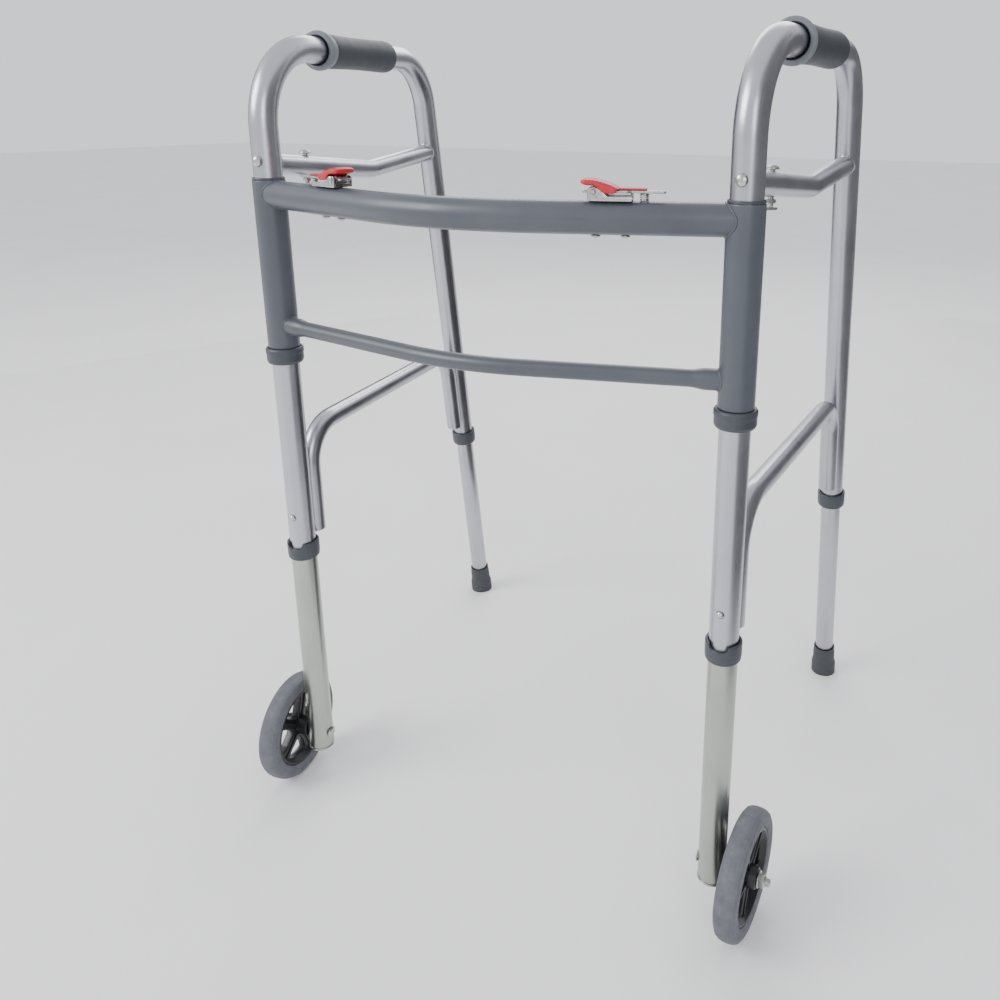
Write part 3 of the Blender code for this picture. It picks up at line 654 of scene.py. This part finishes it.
def build_hinge(side):
    """The painted sleeve with its rolled ends, the bushing on it and the collar under it."""
    place = CROSS @ shift(SIDES[side] * HALF_SPAN)
    high, low, bore = SLEEVE_TOP, SLEEVE_BOTTOM, SLEEVE_BORE
    sleeve = above(high, [(bore, 0), (SLEEVE_R - 0.0002, 0), (SLEEVE_R, -0.0012)])
    sleeve += above(low, [(SLEEVE_R, 0.0012), (SLEEVE_R - 0.0002, 0), (bore, 0)])
    piece(side + "_hinge_sleeve", lathe(sleeve, 80, 0.0004), place, PAINT)
    wide = SLEEVE_R - 0.0004
    bushing = above(BUSHING_TOP, [(bore, 0), (wide - 0.0005, 0), (wide, -0.001)])
    bushing += above(high + GAP, [(wide, 0), (bore, 0)])
    piece(side + "_top_bushing", lathe(bushing, 80, 0.0005), place, COLLAR)
    wide, edge = SLEEVE_COLLAR_R, [(bore, 0), (SLEEVE_COLLAR_R - 0.0014, 0)]
    collar = above(low - GAP, edge + [(wide, -0.002), (wide, -0.006), (wide - 0.0005, -0.0066)])
    lip = [(wide - 0.0005, 0.003), (wide - 0.0018, 0), (bore, 0)]
    collar += above(SLEEVE_COLLAR_BOTTOM, lip)
    piece(side + "_sleeve_collar", lathe(collar, 80, 0.0009), place, COLLAR)


# ---- release levers


def build_bracket(side):
    """The pressed channel on the bar."""
    place = bracket_matrix(side)
    floor, top, width = BAR_Z + TUBE_R + GAP, PIVOT_Z + 0.0032, 0.0205
    outer, inner = BRACKET_ENDS
    ledge = top - 0.0067
    profile = [
        (outer, floor), (inner, floor), (inner, top), (-0.0045, top), (-0.0115, ledge), (outer, ledge),
    ]
    shell = prism(round_outline(profile, 0.0016, 5), -width / 2, width / 2, 0.0006)
    shell.transform(LOOK_BACK_Y)
    wall, past = width / 2 - BRACKET_SHEET, 0.08
    inside = rectangle(-past, floor + BRACKET_SHEET, past, top * 1.1)
    hollow = prism(inside, -wall, wall, 0.0009, 3)
    hollow.transform(LOOK_BACK_Y)
    pin_hole = cylinder_cutter(0.0023, 0.05, place @ shift(z=PIVOT_Z) @ LOOK_Y)
    shell = carve(shell, [cutter(hollow, place), pin_hole], place)
    piece(side + "_latch_bracket", shell, place, ZINC)


def build_pin_and_rivets(side):
    """The lever's pin, and the two rivets that hold the bracket."""
    place = bracket_matrix(side)
    pin = [
        (0, 0.0117), (0.002, 0.0116), (0.0032, 0.0111), (0.0032, 0.0107), (0.002, 0.0107),
        (0.002, -0.0113), (0.0016, -0.0118), (0, -0.0118),
    ]
    pin_place = place @ shift(z=PIVOT_Z) @ LOOK_BACK_Y
    piece(side + "_pivot_pin", lathe(pin, 40, 0.0003), pin_place, ZINC)
    under, on_sheet = BAR_Z - TUBE_R - GAP, BAR_Z + TUBE_R + GAP + BRACKET_SHEET + GAP
    head = [(0, 0.0009), (0.0022, 0.0008), (0.0034, 0.0003), (0.0036, 0), (0.002, 0)]
    tail = [(0.002, 0), (0.0042, 0), (0.004, -0.0008), (0.0024, -0.0021), (0, -0.0024)]
    rivet = above(on_sheet, head) + above(under, tail)
    for name, x in RIVET_PLACES.items():
        piece(f"{side}_{name}_rivet", lathe(rivet, 40, 0.0003), place @ shift(x), ZINC)


def build_spring(side):
    """The coil under the lever, close-wound at its ends."""
    low, high = BAR_Z + TUBE_R + GAP, LEVER_PLATE_Z - PLATE_THICK / 2 - GAP
    turns, coil_r, wire, steps, closed_share = 4.5, 0.0034, 0.0005, 24, 0.16
    from_pivot, most_press = 0.042, radians(3.2)
    count = round(turns * steps)
    path = []
    for index in range(count + 1):
        share = index / count
        open_share = min(max((share - closed_share) / (1 - 2 * closed_share), 0.0), 1.0)
        z = low + wire + (high - low - 2 * wire) * (0.12 * share + 0.88 * open_share)
        angle = 2 * pi * turns * share
        path.append((coil_r * cos(angle), coil_r * sin(angle), z))
    name = side + "_lever_spring"
    place = bracket_matrix(side) @ shift(-from_pivot)
    coil = piece(name, sweep(path, wire, 12, edge=0.0001), place, ZINC)
    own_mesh(coil)


def build_lever(side):
    """The lever: a flat arm over the bar, a wing and drop behind it and a low arm to the latch."""
    place = bracket_matrix(side) @ shift(z=PIVOT_Z)
    rear = -SIDES[side]
    half, thick, trim = PLATE_WIDTH / 2, PLATE_THICK / 2, 0.0007
    high, low = LEVER_PLATE_Z - PIVOT_Z, LEVER_LATCH_Z - PIVOT_Z
    outer, step, narrow = LEVER_ARM_END - LEVER_PIVOT, LEVER_STEP - LEVER_PIVOT, half * 0.72
    reach = TUBE_R + 0.0012 + STEP_WIDTH
    corners = [
        (outer, -narrow), (step, -narrow), (step + 0.004, -half), (0.0095, -half), (0.0095, half),
        (step + STEP_WIDTH + 0.002, half), (step + STEP_WIDTH, reach), (step, reach),
        (step, narrow), (outer, narrow),
    ]
    corners = [(x, y * rear) for x, y in corners]
    plate = prism(round_outline(corners, 0.0022, 6), high - thick, high + thick, 0.0005, 3)

    drop_outline = rectangle(step, trim, step + PLATE_THICK, STEP_WIDTH - trim)
    drop = prism(round_outline(drop_outline, 0.0007, 4), low - thick, high + thick - 0.0004, 0.0005, 2)
    wing_y = (reach - STEP_WIDTH / 2) * rear
    drop_place = place @ shift(0, wing_y - STEP_WIDTH / 2)

    latch = place.inverted() @ side_matrix(side) @ Vector((0, LATCH_Y, LEVER_LATCH_Z))
    start = Vector((step + PLATE_THICK / 2, wing_y, 0))
    target = Vector((latch.x, latch.y, 0))
    length, heading = (target - start).length, atan2(target.y - start.y, target.x - start.x)
    arm_half, nose = 0.0046, 0.0074
    arm_side = [(-0.0042, -0.003), (0.006, -arm_half), (length - 0.004, -arm_half)]
    arm_side.append((length + nose * 0.55, -arm_half * 0.9))
    arm_outline = arm_side + [(length + nose, 0)] + mirrored(arm_side)
    arm = prism(round_outline(arm_outline, 0.0028, 7), low - thick, low + thick, 0.0005, 3)
    arm_place = place @ Matrix.Translation(start) @ Matrix.Rotation(heading, 4, "Z")

    barrel_r, barrel_half = 0.0042, 0.0062
    barrel = rectangle(0, barrel_half, barrel_r, -barrel_half)
    extras = [cutter(drop, drop_place), cutter(arm, arm_place)]
    extras.append(cutter(lathe(barrel, 40, 0.0006), place @ LOOK_Y))
    plate = carve(plate, extras, place, "UNION")
    holes = [
        cylinder_cutter(0.0032, 0.02, place @ shift(latch.x, latch.y, low)),
        cylinder_cutter(0.0024, 0.03, place @ LOOK_Y),
    ]
    piece(side + "_lever_plate", carve(plate, holes, place), place, ZINC)


def smooth_step(value, low, high):
    share = min(max((value - low) / (high - low), 0.0), 1.0)
    return share * share * (3 - 2 * share)


def button_ring(x, share, length, skirt, ceiling):
    """The button's outline at x, a rounded box whose height and width shrink near both ends."""
    around, half, cap = 48, 0.012, 0.006
    tail, rise, ridge, ridge_pitch = 0.004, 0.0068, 0.00035, 0.003
    near_end = min(share, 1 - share) * length
    dome = 1.0 if near_end >= cap else sqrt(max(1 - (1 - near_end / cap) ** 2, 0.0))
    top = tail + rise * sin(pi / 2 * min(share * 1.15, 1.0))
    bottom = skirt + (ceiling - skirt) * smooth_step(x, -0.01, 0.001)
    tall, wide = (top - bottom) * (0.3 + 0.7 * dome), half * (0.66 + 0.34 * dome)
    middle = bottom + (top - bottom) / 2 + (top - bottom - tall) * 0.12
    lift = ridge * cos(2 * pi * x / ridge_pitch) if 0.34 < share < 0.86 else 0.0
    ring = []
    for c, s in circle(around):
        y = copysign(abs(c) ** 0.62, c) * wide
        z = copysign(abs(s) ** 0.72, s) * tall / 2
        ring.append(Vector((x, y, middle + z + (lift if s > 0.55 else 0.0))))
    return ring


def build_release_button(side):
    """The moulded button: a ridged wedge that drops towards the hinge, with skirts and a tail."""
    place = bracket_matrix(side) @ shift(z=PIVOT_Z)
    outer, inner, skirt, ceiling, rows = -0.021, 0.0105, -0.003, 0.0047, 40
    rings = []
    for row in range(rows + 1):
        share = 0.5 - 0.5 * cos(pi * row / rows)
        x = outer + (inner - outer) * share
        rings.append(button_ring(x, share, inner - outer, skirt, ceiling))
    body = grid_mesh(rings, [0.001 * row for row in range(rows + 1)], 0.06)

    def block(x0, x1, half_width, z0, z1):
        outline = round_outline(rectangle(x0, -half_width, x1, half_width), 0.001, 4)
        return cutter(prism(outline, z0, z1, 0.0003), place)

    foot, hollow, under = LEVER_PLATE_Z - PIVOT_Z + PLATE_THICK / 2 + GAP, 0.0106, -0.02
    channels = [
        block(-0.0086, 0.02, hollow, under, 0.0043),
        block(-0.03, -0.004, hollow, under, foot + 0.0005),
    ]
    extras = [
        block(outer + 0.002, -0.01, 0.0045, foot, foot + 0.002),
        block(-0.044, outer + 0.006, 0.0042, foot, foot + 0.0016),
    ]
    body = carve(carve(body, channels, place), extras, place, "UNION")
    piece(side + "_release_button", body, place, RED)


# ---- side frames


def build_side_tube(side):
    """The one bent tube: front upright, handle and rear upright, drilled for bolt and buttons."""
    place, slope = side_matrix(side), rear_matrix(side)
    foot = (0, rear_y(REAR_TUBE_END), REAR_TUBE_END)
    top = (0, rear_y(HANDLE_HEIGHT), HANDLE_HEIGHT)
    front = fillet([(0, 0, FRONT_TUBE_END), (0, 0, HANDLE_HEIGHT), top], FRONT_BEND_R, 26)
    rear = fillet([(0, 0, HANDLE_HEIGHT), top, foot], REAR_BEND_R, 28)
    tube = sweep(front[:-1] + rear[1:], TUBE_R, 56, TUBE_WALL)
    hole = BUTTON_R + 0.0003
    cutters = [
        cylinder_cutter(0.0028, 0.05, place @ shift(z=UPRIGHT_BOLT_Z) @ LOOK_Y),
        cylinder_cutter(hole, 0.01, place @ shift(0, -TUBE_R, FRONT_BUTTON_Z) @ LOOK_Y),
        cylinder_cutter(hole, 0.01, slope @ shift(0, TUBE_R, REAR_BUTTON_S) @ LOOK_Y),
    ]
    piece(side + "_side_tube", carve(tube, cutters, place), place, ANODISED)


def build_grip(side):
    """The vinyl grip: a flared guard in front, coloured pale as a painted highlight, a soft swell and a
    slightly flared rear end.
    """
    place = side_matrix(side) @ shift(0, GRIP_FRONT, HANDLE_HEIGHT) @ LOOK_Y
    length, bore = GRIP_REAR - GRIP_FRONT, TUBE_R + 0.0006
    waist = [(GRIP_R - 0.0009 * sin(pi * k / 12), 0.02 + k * 0.009) for k in range(13)]
    end = [(bore, 0), (GRIP_R - 0.003, 0), (GRIP_R - 0.0004, -0.003), (GRIP_R, -0.0065)]
    profile = above(length, end) + waist[::-1]
    profile += [(GRIP_R - 0.0002, 0.015), (0.0205, 0.0085), (0.0212, 0.004), (0.0207, 0.0012)]
    profile += [(0.019, 0), (bore + 0.0012, 0), (bore, 0.0014)]
    grip = piece(side + "_grip", lathe(profile, 96, 0.0008, 4), place, VINYL)
    # The guard's faces take the pale material, which is a painted highlight.
    grip.data.materials.append(GUARD_PAINTED_HIGHLIGHT)
    for face in grip.data.polygons:
        middle = face.center
        if middle.z < 0.0135 and hypot(middle.x, middle.y) > GRIP_R - 0.0012:
            face.material_index = 1


def build_upper_brace(side):
    """The upper brace, coped and welded to both uprights."""
    place = side_matrix(side)
    front, bend, rear = UPPER_BRACE
    tube = sweep(fillet(UPPER_BRACE, 0.12, 20), BRACE_R)
    post = (0, rear_y(rear[2]), rear[2])
    lean = Matrix.Translation(post) @ Matrix.Rotation(REAR_TILT, 4, "X")
    posts = (place @ shift(z=UPRIGHT_BOLT_Z), place @ lean)
    copes = [cylinder_cutter(TUBE_R + 0.0001, 0.1, at, 96) for at in posts]
    tube = carve(tube, copes, place)
    first, last = Vector(bend) - Vector(front), Vector(bend) - Vector(rear)
    tilted = Vector((0, -sin(REAR_TILT), cos(REAR_TILT)))
    beads = [
        bead(cope_curve(front, first, BRACE_R, (0, 0, 0), (0, 0, 1), TUBE_R), 0.0013),
        bead(cope_curve(rear, last, BRACE_R, post, tilted, TUBE_R), 0.0013),
    ]
    piece(side + "_upper_brace", joined(tube, *beads), place, ANODISED)


def build_lower_brace(side):
    """The arched lower brace, whose legs run down beside both uprights, with its seams."""
    place = side_matrix(side)
    offset = TUBE_R + BRACE_R + 0.0004
    slant = offset / cos(REAR_TILT)
    levels = (LOWER_BRACE_END, LOWER_BRACE_TOP)
    corners = [(0, offset, z) for z in levels]
    corners += [(0, rear_y(z) - slant, z) for z in reversed(levels)]
    tube = sweep(fillet(corners, LOWER_BEND_R, 24), BRACE_R, 48, BRACE_WALL)
    ends = (LOWER_BRACE_END + 0.004, LOWER_BRACE_TOP - LOWER_BEND_R + 0.004)
    front, back = TUBE_R + 0.0006, (TUBE_R + 0.0006) / cos(REAR_TILT)
    beads = []
    for x in (-0.0036, 0.0036):
        front_line = [Vector((x, front, z)) for z in ends]
        rear_line = [Vector((x, rear_y(z) - back, z)) for z in ends]
        beads += [bead(line, 0.0018, closed=False) for line in (front_line, rear_line)]
    piece(side + "_lower_brace", joined(tube, *beads), place, ANODISED)


def build_fasteners(side):
    """The bolt through the front upright, and the latch bolt with its nut under the brace."""
    place = side_matrix(side)
    head = [(0, 0.0042), (0.0024, 0.0039), (0.0046, 0.0027), (0.0056, 0.0012), (0.0056, 0)]
    end = [(0.0025, 0.0004), (0.0021, 0), (0, 0)]
    bolt = above(TUBE_R + GAP, head + [(0.0025, 0)]) + above(-0.03, end)
    at = shift(z=UPRIGHT_BOLT_Z) @ LOOK_BACK_Y
    piece(side + "_upright_bolt", lathe(bolt, 48, 0.0005), place @ at, ZINC)
    at = shift(0, LATCH_Y)
    head = [(0, 0.004), (0.0028, 0.0037), (0.0051, 0.0025), (0.0062, 0.001), (0.0062, 0)]
    end = [(0.0025, 0.0008), (0.0017, 0), (0, 0)]
    bolt = above(LATCH_BOLT_TOP + BRACE_R + GAP, head + [(0.0025, 0)])
    bolt += above(LEVER_LATCH_Z + PLATE_THICK / 2 + 0.0004, end)
    piece(side + "_latch_bolt", lathe(bolt, 48, 0.0005), place @ at, ZINC)
    under = LATCH_BOLT_UNDER - BRACE_R - GAP
    piece(side + "_latch_nut", nut_mesh(0.0084, under - 0.0034, under, 0.0029), place @ at, ZINC)


def nut_mesh(flats, low, high, bore):
    """A hexagon nut with its corners turned off on both faces."""
    middle, size = (low + high) / 2, flats / sqrt(3)
    hexagon = round_outline([(c * size, s * size) for c, s in circle(6)], 0.0004, 2)
    block = prism(hexagon, low, high, 0.0)
    face, corner, slope = flats / 2 * 0.97, size + 0.0004, (size - flats / 2) * 0.75
    profile = [
        (0, high), (face, high), (corner, high - slope), (corner, middle), (corner, low + slope),
        (face, low), (0, low),
    ]
    at = Matrix.Identity(4)
    turned = cutter(lathe(profile, 60, 0.0001, 1), at)
    shaped = carve(block, [turned], at, "INTERSECT")
    return carve(shaped, [cylinder_cutter(bore, (high - low) * 3, shift(z=middle))], at)


def threaded(radius, low, high, pitch=0.00105):
    """The profile of a shank's turned thread, from high to low."""
    depth, points = 0.00032, []
    for index in range(int((high - low) / pitch)):
        z = high - index * pitch
        points += [(radius, z - 0.15 * pitch), (radius - depth, z - 0.55 * pitch)]
    return points


# ---- legs, wheels and tips


def build_collar(node, place, low, notch_side):
    """The moulded collar on a frame tube's end, with its U notch, a bead and a lower lip."""
    bore, high = TUBE_R + 0.0006, low + COLLAR_HEIGHT
    lip = COLLAR_R - 0.0004
    profile = above(high, [(bore, 0), (COLLAR_R - 0.0008, 0), (COLLAR_R, -0.001)])
    profile += above(low, [(COLLAR_R, 0.0052), (lip, 0.0046), (lip, 0.0014)])
    profile += [(COLLAR_R - 0.0014, low), (bore, low)]
    mesh = lathe(profile, 80, 0.0006)
    half, depth, rise = 0.0095, 0.006, 0.008
    outline = round_outline(rectangle(-half, -depth, half, rise), 0.0058, 10)
    notch = prism([(x, min(y, rise)) for x, y in outline], 0.004, 0.03, 0.0)
    turn = Matrix.Rotation(-pi / 2 * notch_side, 4, "X")
    if notch_side > 0:
        turn = turn @ Matrix.Rotation(pi, 4, "Z")
    box = place @ shift(z=high) @ turn
    piece(node, carve(mesh, [cutter(notch, box)], place), place, COLLAR)


def build_snap_button(node, place, height, turn):
    """The domed button that sticks out through the frame tube's wall."""
    dome = [(0, 0.0028), (0.0016, 0.0025), (0.003, 0.0015), (BUTTON_R, 0.0002)]
    profile = above(TUBE_R, dome) + above(SPIGOT_R + GAP, [(BUTTON_R, 0), (0, 0)])
    piece(node, lathe(profile, 40, 0.0009, 5), place @ shift(z=height) @ turn, ZINC)


def holes_of(place, first, side_y):
    """Cutters for the row of height holes."""
    cutters = []
    for index in range(HOLE_COUNT):
        at = shift(0, side_y * SPIGOT_R, first + index * HOLE_PITCH) @ LOOK_Y
        cutters.append(cylinder_cutter(BUTTON_R + 0.0004, 0.008, place @ at))
    return cutters


def build_front_leg(side):
    """The wheel leg with its row of holes, its plug, and the collar and snap button above it."""
    place, wheel = side_matrix(side), wheel_matrix(side)
    shoulder = FRONT_TUBE_END - COLLAR_LAP
    build_collar(side + "_front_leg_collar", place, shoulder, -1)
    build_snap_button(side + "_front_snap_button", place, FRONT_BUTTON_Z, LOOK_BACK_Y)
    top = shoulder + SPIGOT_LENGTH
    profile = [
        (SPIGOT_BORE, top), (SPIGOT_R, top), (SPIGOT_R, shoulder), (TUBE_R - 0.0003, shoulder),
        (TUBE_R, shoulder - 0.0006), (TUBE_R, LEG_BOTTOM), (SPIGOT_BORE, LEG_BOTTOM),
    ]
    leg = lathe(profile, 64, 0.0002, 2)
    cutters = holes_of(place, FRONT_BUTTON_Z, -1)
    at = wheel @ shift(z=-WHEEL_OFFSET)
    cutters.append(cylinder_cutter(AXLE_R + 0.0003, 0.06, at))
    piece(side + "_wheel_leg", carve(leg, cutters, place), place, LEG_METAL)
    inside, wide = SPIGOT_BORE - 0.0005, TUBE_R + 0.0006
    plug = above(LEG_BOTTOM + 0.006, [(0, 0), (inside, 0)])
    cap = [(inside, 0), (wide, 0), (wide, -0.0018), (TUBE_R - 0.001, -0.0033), (0, -0.0035)]
    plug += above(LEG_BOTTOM - GAP, cap)
    piece(side + "_leg_plug", lathe(plug, 64, 0.0005), place, LEG_METAL)


def build_axle(side):
    """The wheel's threaded bolt with its domed head inside the leg, and the flanged nut."""
    wheel = wheel_matrix(side)
    inner, face = -WHEEL_OFFSET - TUBE_R - GAP, 0.0152
    shank = [(0, face + 0.012), (AXLE_R - 0.0009, face + 0.012)]
    shank += threaded(AXLE_R, face - 0.001, face + 0.0114)
    shank += [(AXLE_R, face - 0.0016), (AXLE_R, inner - 0.001), (0, inner - 0.001)]
    shaft = lathe(shank, 48, 0.0001, 1)
    hole = AXLE_R - 0.001
    dome = [(hole, 0), (0.0068, 0), (0.0068, -0.0008), (0.0045, -0.002), (0, -0.0024)]
    dome = above(inner, dome + [(0, -0.0008), (hole, -0.0006)])
    head = lathe(dome, 56, 0.0004, 3, closed=True)
    piece(side + "_axle_bolt", joined(shaft, head), wheel, ZINC)
    bore = AXLE_R + 0.0004
    flange = [(bore, 0.0015), (0.0078, 0.0015), (0.0086, 0.0009), (0.0086, 0), (bore, 0)]
    crown = [(bore, 0.0072), (0.0052, 0.0072), (0.0059, 0.0064), (0.0059, 0.0055), (bore, 0.0055)]
    flange, crown = lathe(above(face, flange), 64, 0.0003), lathe(above(face, crown), 48, 0.0004)
    nut = nut_mesh(0.0128, face + 0.0013, face + 0.006, bore)
    piece(side + "_axle_nut", joined(flange, nut, crown), wheel, ZINC)


def build_tyre(side):
    """The solid tyre, with a fine groove around both side walls."""
    half = TYRE_WIDTH / 2
    foot = [(0.0002, -0.0018), (0.0034, -0.0002), (0.0062, 0)]
    groove = [(0.0066, -0.0004), (0.0074, -0.0004), (0.0078, 0)]
    tread = [(0.0052, -0.0003), (0.0022, -0.0022), (0.0006, -0.0054), (0, -0.009)]
    wall = [(RIM_R + r, z) for r, z in foot + groove] + [(WHEEL_R - r, z) for r, z in tread]
    edge = above(half, wall)
    tyre = lathe(edge + mirrored(edge), 128, 0.0008, 4)
    piece(side + "_tyre", tyre, wheel_matrix(side), TYRE)


def build_hub(side):
    """The hub: a rim and a boss, with ribbed spokes between them."""
    rim_half, inner_rim, web = TYRE_WIDTH / 2 - 0.002, RIM_R - 0.0072, 0.0035
    lip = [
        (RIM_R, rim_half - 0.0004), (RIM_R - 0.001, rim_half), (RIM_R - 0.003, rim_half),
        (RIM_R - 0.0034, rim_half - 0.001), (inner_rim + 0.001, 0.005), (inner_rim, web),
    ]
    rim = lathe(lip + mirrored(lip), 128, 0.0005, 3)
    back = WHEEL_OFFSET - TUBE_R - 0.0006
    boss = [
        (0, 0.0148), (0.0086, 0.0148), (0.0104, 0.0138), (0.0116, 0.007), (0.012, 0.0),
        (0.0116, -0.007), (0.0104, -back + 0.001), (0.0094, -back), (0, -back),
    ]
    shells = [rim, lathe(boss, 72, 0.0006)]
    near, far, spoke_half, rib_half = 0.007, inner_rim + 0.0015, 0.0052, 0.0068
    edge = [(far, 0.0112), (far - 0.005, 0.0074), (far - 0.012, 0.0062), (near, 0.0078)]
    spoke = prism(round_outline(edge + mirrored(edge), 0.003, 6), -spoke_half, spoke_half, 0.0012, 3)
    outline = [(near, -0.0013), (far, -0.0011), (far, 0.0011), (near, 0.0013)]
    rib = prism(round_outline(outline, 0.0005, 3), -rib_half, rib_half, 0.0007, 3)
    for index in range(SPOKES):
        turn = Matrix.Rotation(2 * pi * (index + SPOKE_START) / SPOKES, 4, "Z")
        shells += [(spoke, turn), (rib, turn)]
    piece(side + "_hub", joined(*shells), wheel_matrix(side), HUB)


def build_rear_tip(side):
    """The ribbed rubber tip, cut level with the floor."""
    slope, base, bore = rear_matrix(side), REAR_LEG_FOOT - GAP, SPIGOT_R + 0.0005
    below = -0.008
    profile = [
        (0, base), (bore, base), (bore, TIP_HEIGHT), (0.014, TIP_HEIGHT), (0.0146, 0.0462),
        (0.0146, 0.044), (0.0143, 0.0432), (0.0152, 0.037), (0.0153, 0.024), (TIP_R, 0.0165),
        (TIP_R, 0.0125), (0.0165, 0.0118), (0.0165, 0.0106), (TIP_R, 0.0099), (TIP_R, below),
        (0, below),
    ]
    tip = lathe(profile, 80, 0.0007, 4, closed=False)
    wide = 0.1
    slab = prism(rectangle(-wide, -wide, wide, wide), -wide, 0.0, 0.0)
    floor = Matrix.Translation((slope.translation.x, slope.translation.y, 0))
    tip = carve(tip, [cutter(slab, floor)], slope)
    tip.transform(floor.inverted() @ slope)
    piece(side + "_rear_tip", tip, floor, RUBBER)


def build_rear_leg(side):
    """The rear extension with its row of holes, the tip, and the collar and snap button above."""
    slope = rear_matrix(side)
    end = REAR_TUBE_END / cos(REAR_TILT)
    build_collar(side + "_rear_leg_collar", slope, end - COLLAR_LAP, 1)
    tube = rectangle(SPIGOT_BORE, end + SPIGOT_LENGTH, SPIGOT_R, REAR_LEG_FOOT)
    leg = lathe(tube, 64, 0.0003, 2)
    piece(side + "_rear_extension", carve(leg, holes_of(slope, REAR_BUTTON_S, 1), slope), slope, ANODISED)
    build_rear_tip(side)
    build_snap_button(side + "_rear_snap_button", slope, REAR_BUTTON_S, LOOK_Y)


SIDE_PARTS = (
    build_hinge, build_bracket, build_pin_and_rivets, build_spring, build_lever,
    build_release_button, build_side_tube, build_grip, build_upper_brace, build_lower_brace,
    build_fasteners, build_front_leg, build_axle, build_tyre, build_hub, build_rear_leg,
)

build_crossbars()
for side_name in SIDES:
    for build_part in SIDE_PARTS:
        build_part(side_name)


# ---- floor, light and camera


def build_floor():
    """A pale floor under and around the walking frame."""
    bm = bmesh.new()
    bmesh.ops.create_grid(bm, x_segments=2, y_segments=2, size=14.0)
    floor = placed("studio_floor", mesh_of(bm))
    made = look("pale_floor", 0.65)
    drive(made, "Base Color", ramp(made, noise(made, 3), [(0.3, grey(0.83)), (0.7, grey(0.86))]))
    floor.data.materials.append(made)


def area_light(name, at, target, size, power, tint=(1, 1, 1)):
    data = bpy.data.lights.new(name, "AREA")
    data.shape = "RECTANGLE"
    data.size, data.size_y = size
    data.energy = power
    data.color = tint
    light = placed(name, data)
    light.location = at
    light.rotation_euler = (Vector(target) - Vector(at)).to_track_quat("-Z", "Y").to_euler()


def reflector(name, low, high, level, top=1.6):
    """An upright card that only reflections show, and only from its front."""
    bm = bmesh.new()
    ends = [bm.verts.new((x, y, z)) for (x, y), z in ((low, 0), (high, 0), (high, top), (low, top))]
    bm.faces.new(ends)
    card = placed(name, mesh_of(bm))
    made = look(name, 0.9, Base_Color=(*grey(level), 1.0), Specular_IOR_Level=0.0)
    backfacing = feed(made, "ShaderNodeNewGeometry").outputs["Backfacing"]
    clear = feed(made, "ShaderNodeBsdfTransparent").outputs["BSDF"]
    shader = made.node_tree.nodes["Principled BSDF"].outputs["BSDF"]
    one_sided = feed(made, "ShaderNodeMixShader", {0: backfacing, 1: shader, 2: clear})
    output = made.node_tree.nodes["Material Output"].inputs["Surface"]
    made.node_tree.links.new(one_sided.outputs["Shader"], output)
    card.data.materials.append(made)
    card.visible_camera = card.visible_diffuse = card.visible_shadow = False


def build_light():
    middle = (0, 0, 0.45)
    area_light("key", (-2.2, -2.0, 2.4), middle, (1.8, 1.6), 85)
    area_light("fill", (1.9, -2.6, 1.7), middle, (0.9, 1.8), 22, (0.93, 0.95, 1.0))
    area_light("rim", (-0.8, 2.6, 2.4), middle, (2.6, 1.0), 40)
    reflector("right_card", (0.85, 0.9), (0.7, -0.75), 0.16)
    reflector("middle_card", (0.02, 0.6), (0.02, -0.1), 0.06, 0.66)
    reflector("left_card", (-2.4, 0.5), (-1.6, 2.0), 0.03)
    reflector("back_card", (0.35, 2.8), (1.9, 2.55), 0.12)
    world = bpy.data.worlds.new("studio")
    world.use_nodes = True
    sky = world.node_tree.nodes["Background"]
    sky.inputs["Color"].default_value = (0.95, 0.96, 1.0, 1)
    sky.inputs["Strength"].default_value = 1.15
    bpy.context.scene.world = world


def build_camera():
    """The camera, in front of the walking frame and to its right, looking slightly down."""
    place, azimuth, pitch, roll = (0.42125, -0.92044, 0.80876), 0.39588, 0.28131, 0.00731
    data = bpy.data.cameras.new("camera")
    data.lens, data.sensor_width = 31.737, 36.0
    data.shift_x, data.shift_y = -0.1, -0.14
    level = cos(pitch)
    back = Vector((sin(azimuth) * level, -cos(azimuth) * level, sin(pitch)))
    right = (-back).cross(Z_AXIS).normalized()
    up = right.cross(-back)
    turned_right = right * cos(roll) + up * sin(roll)
    turned_up = up * cos(roll) - right * sin(roll)
    camera = placed("camera", data, frame_matrix(place, turned_right, turned_up, back))
    bpy.context.scene.camera = camera


build_floor()
build_light()
build_camera()
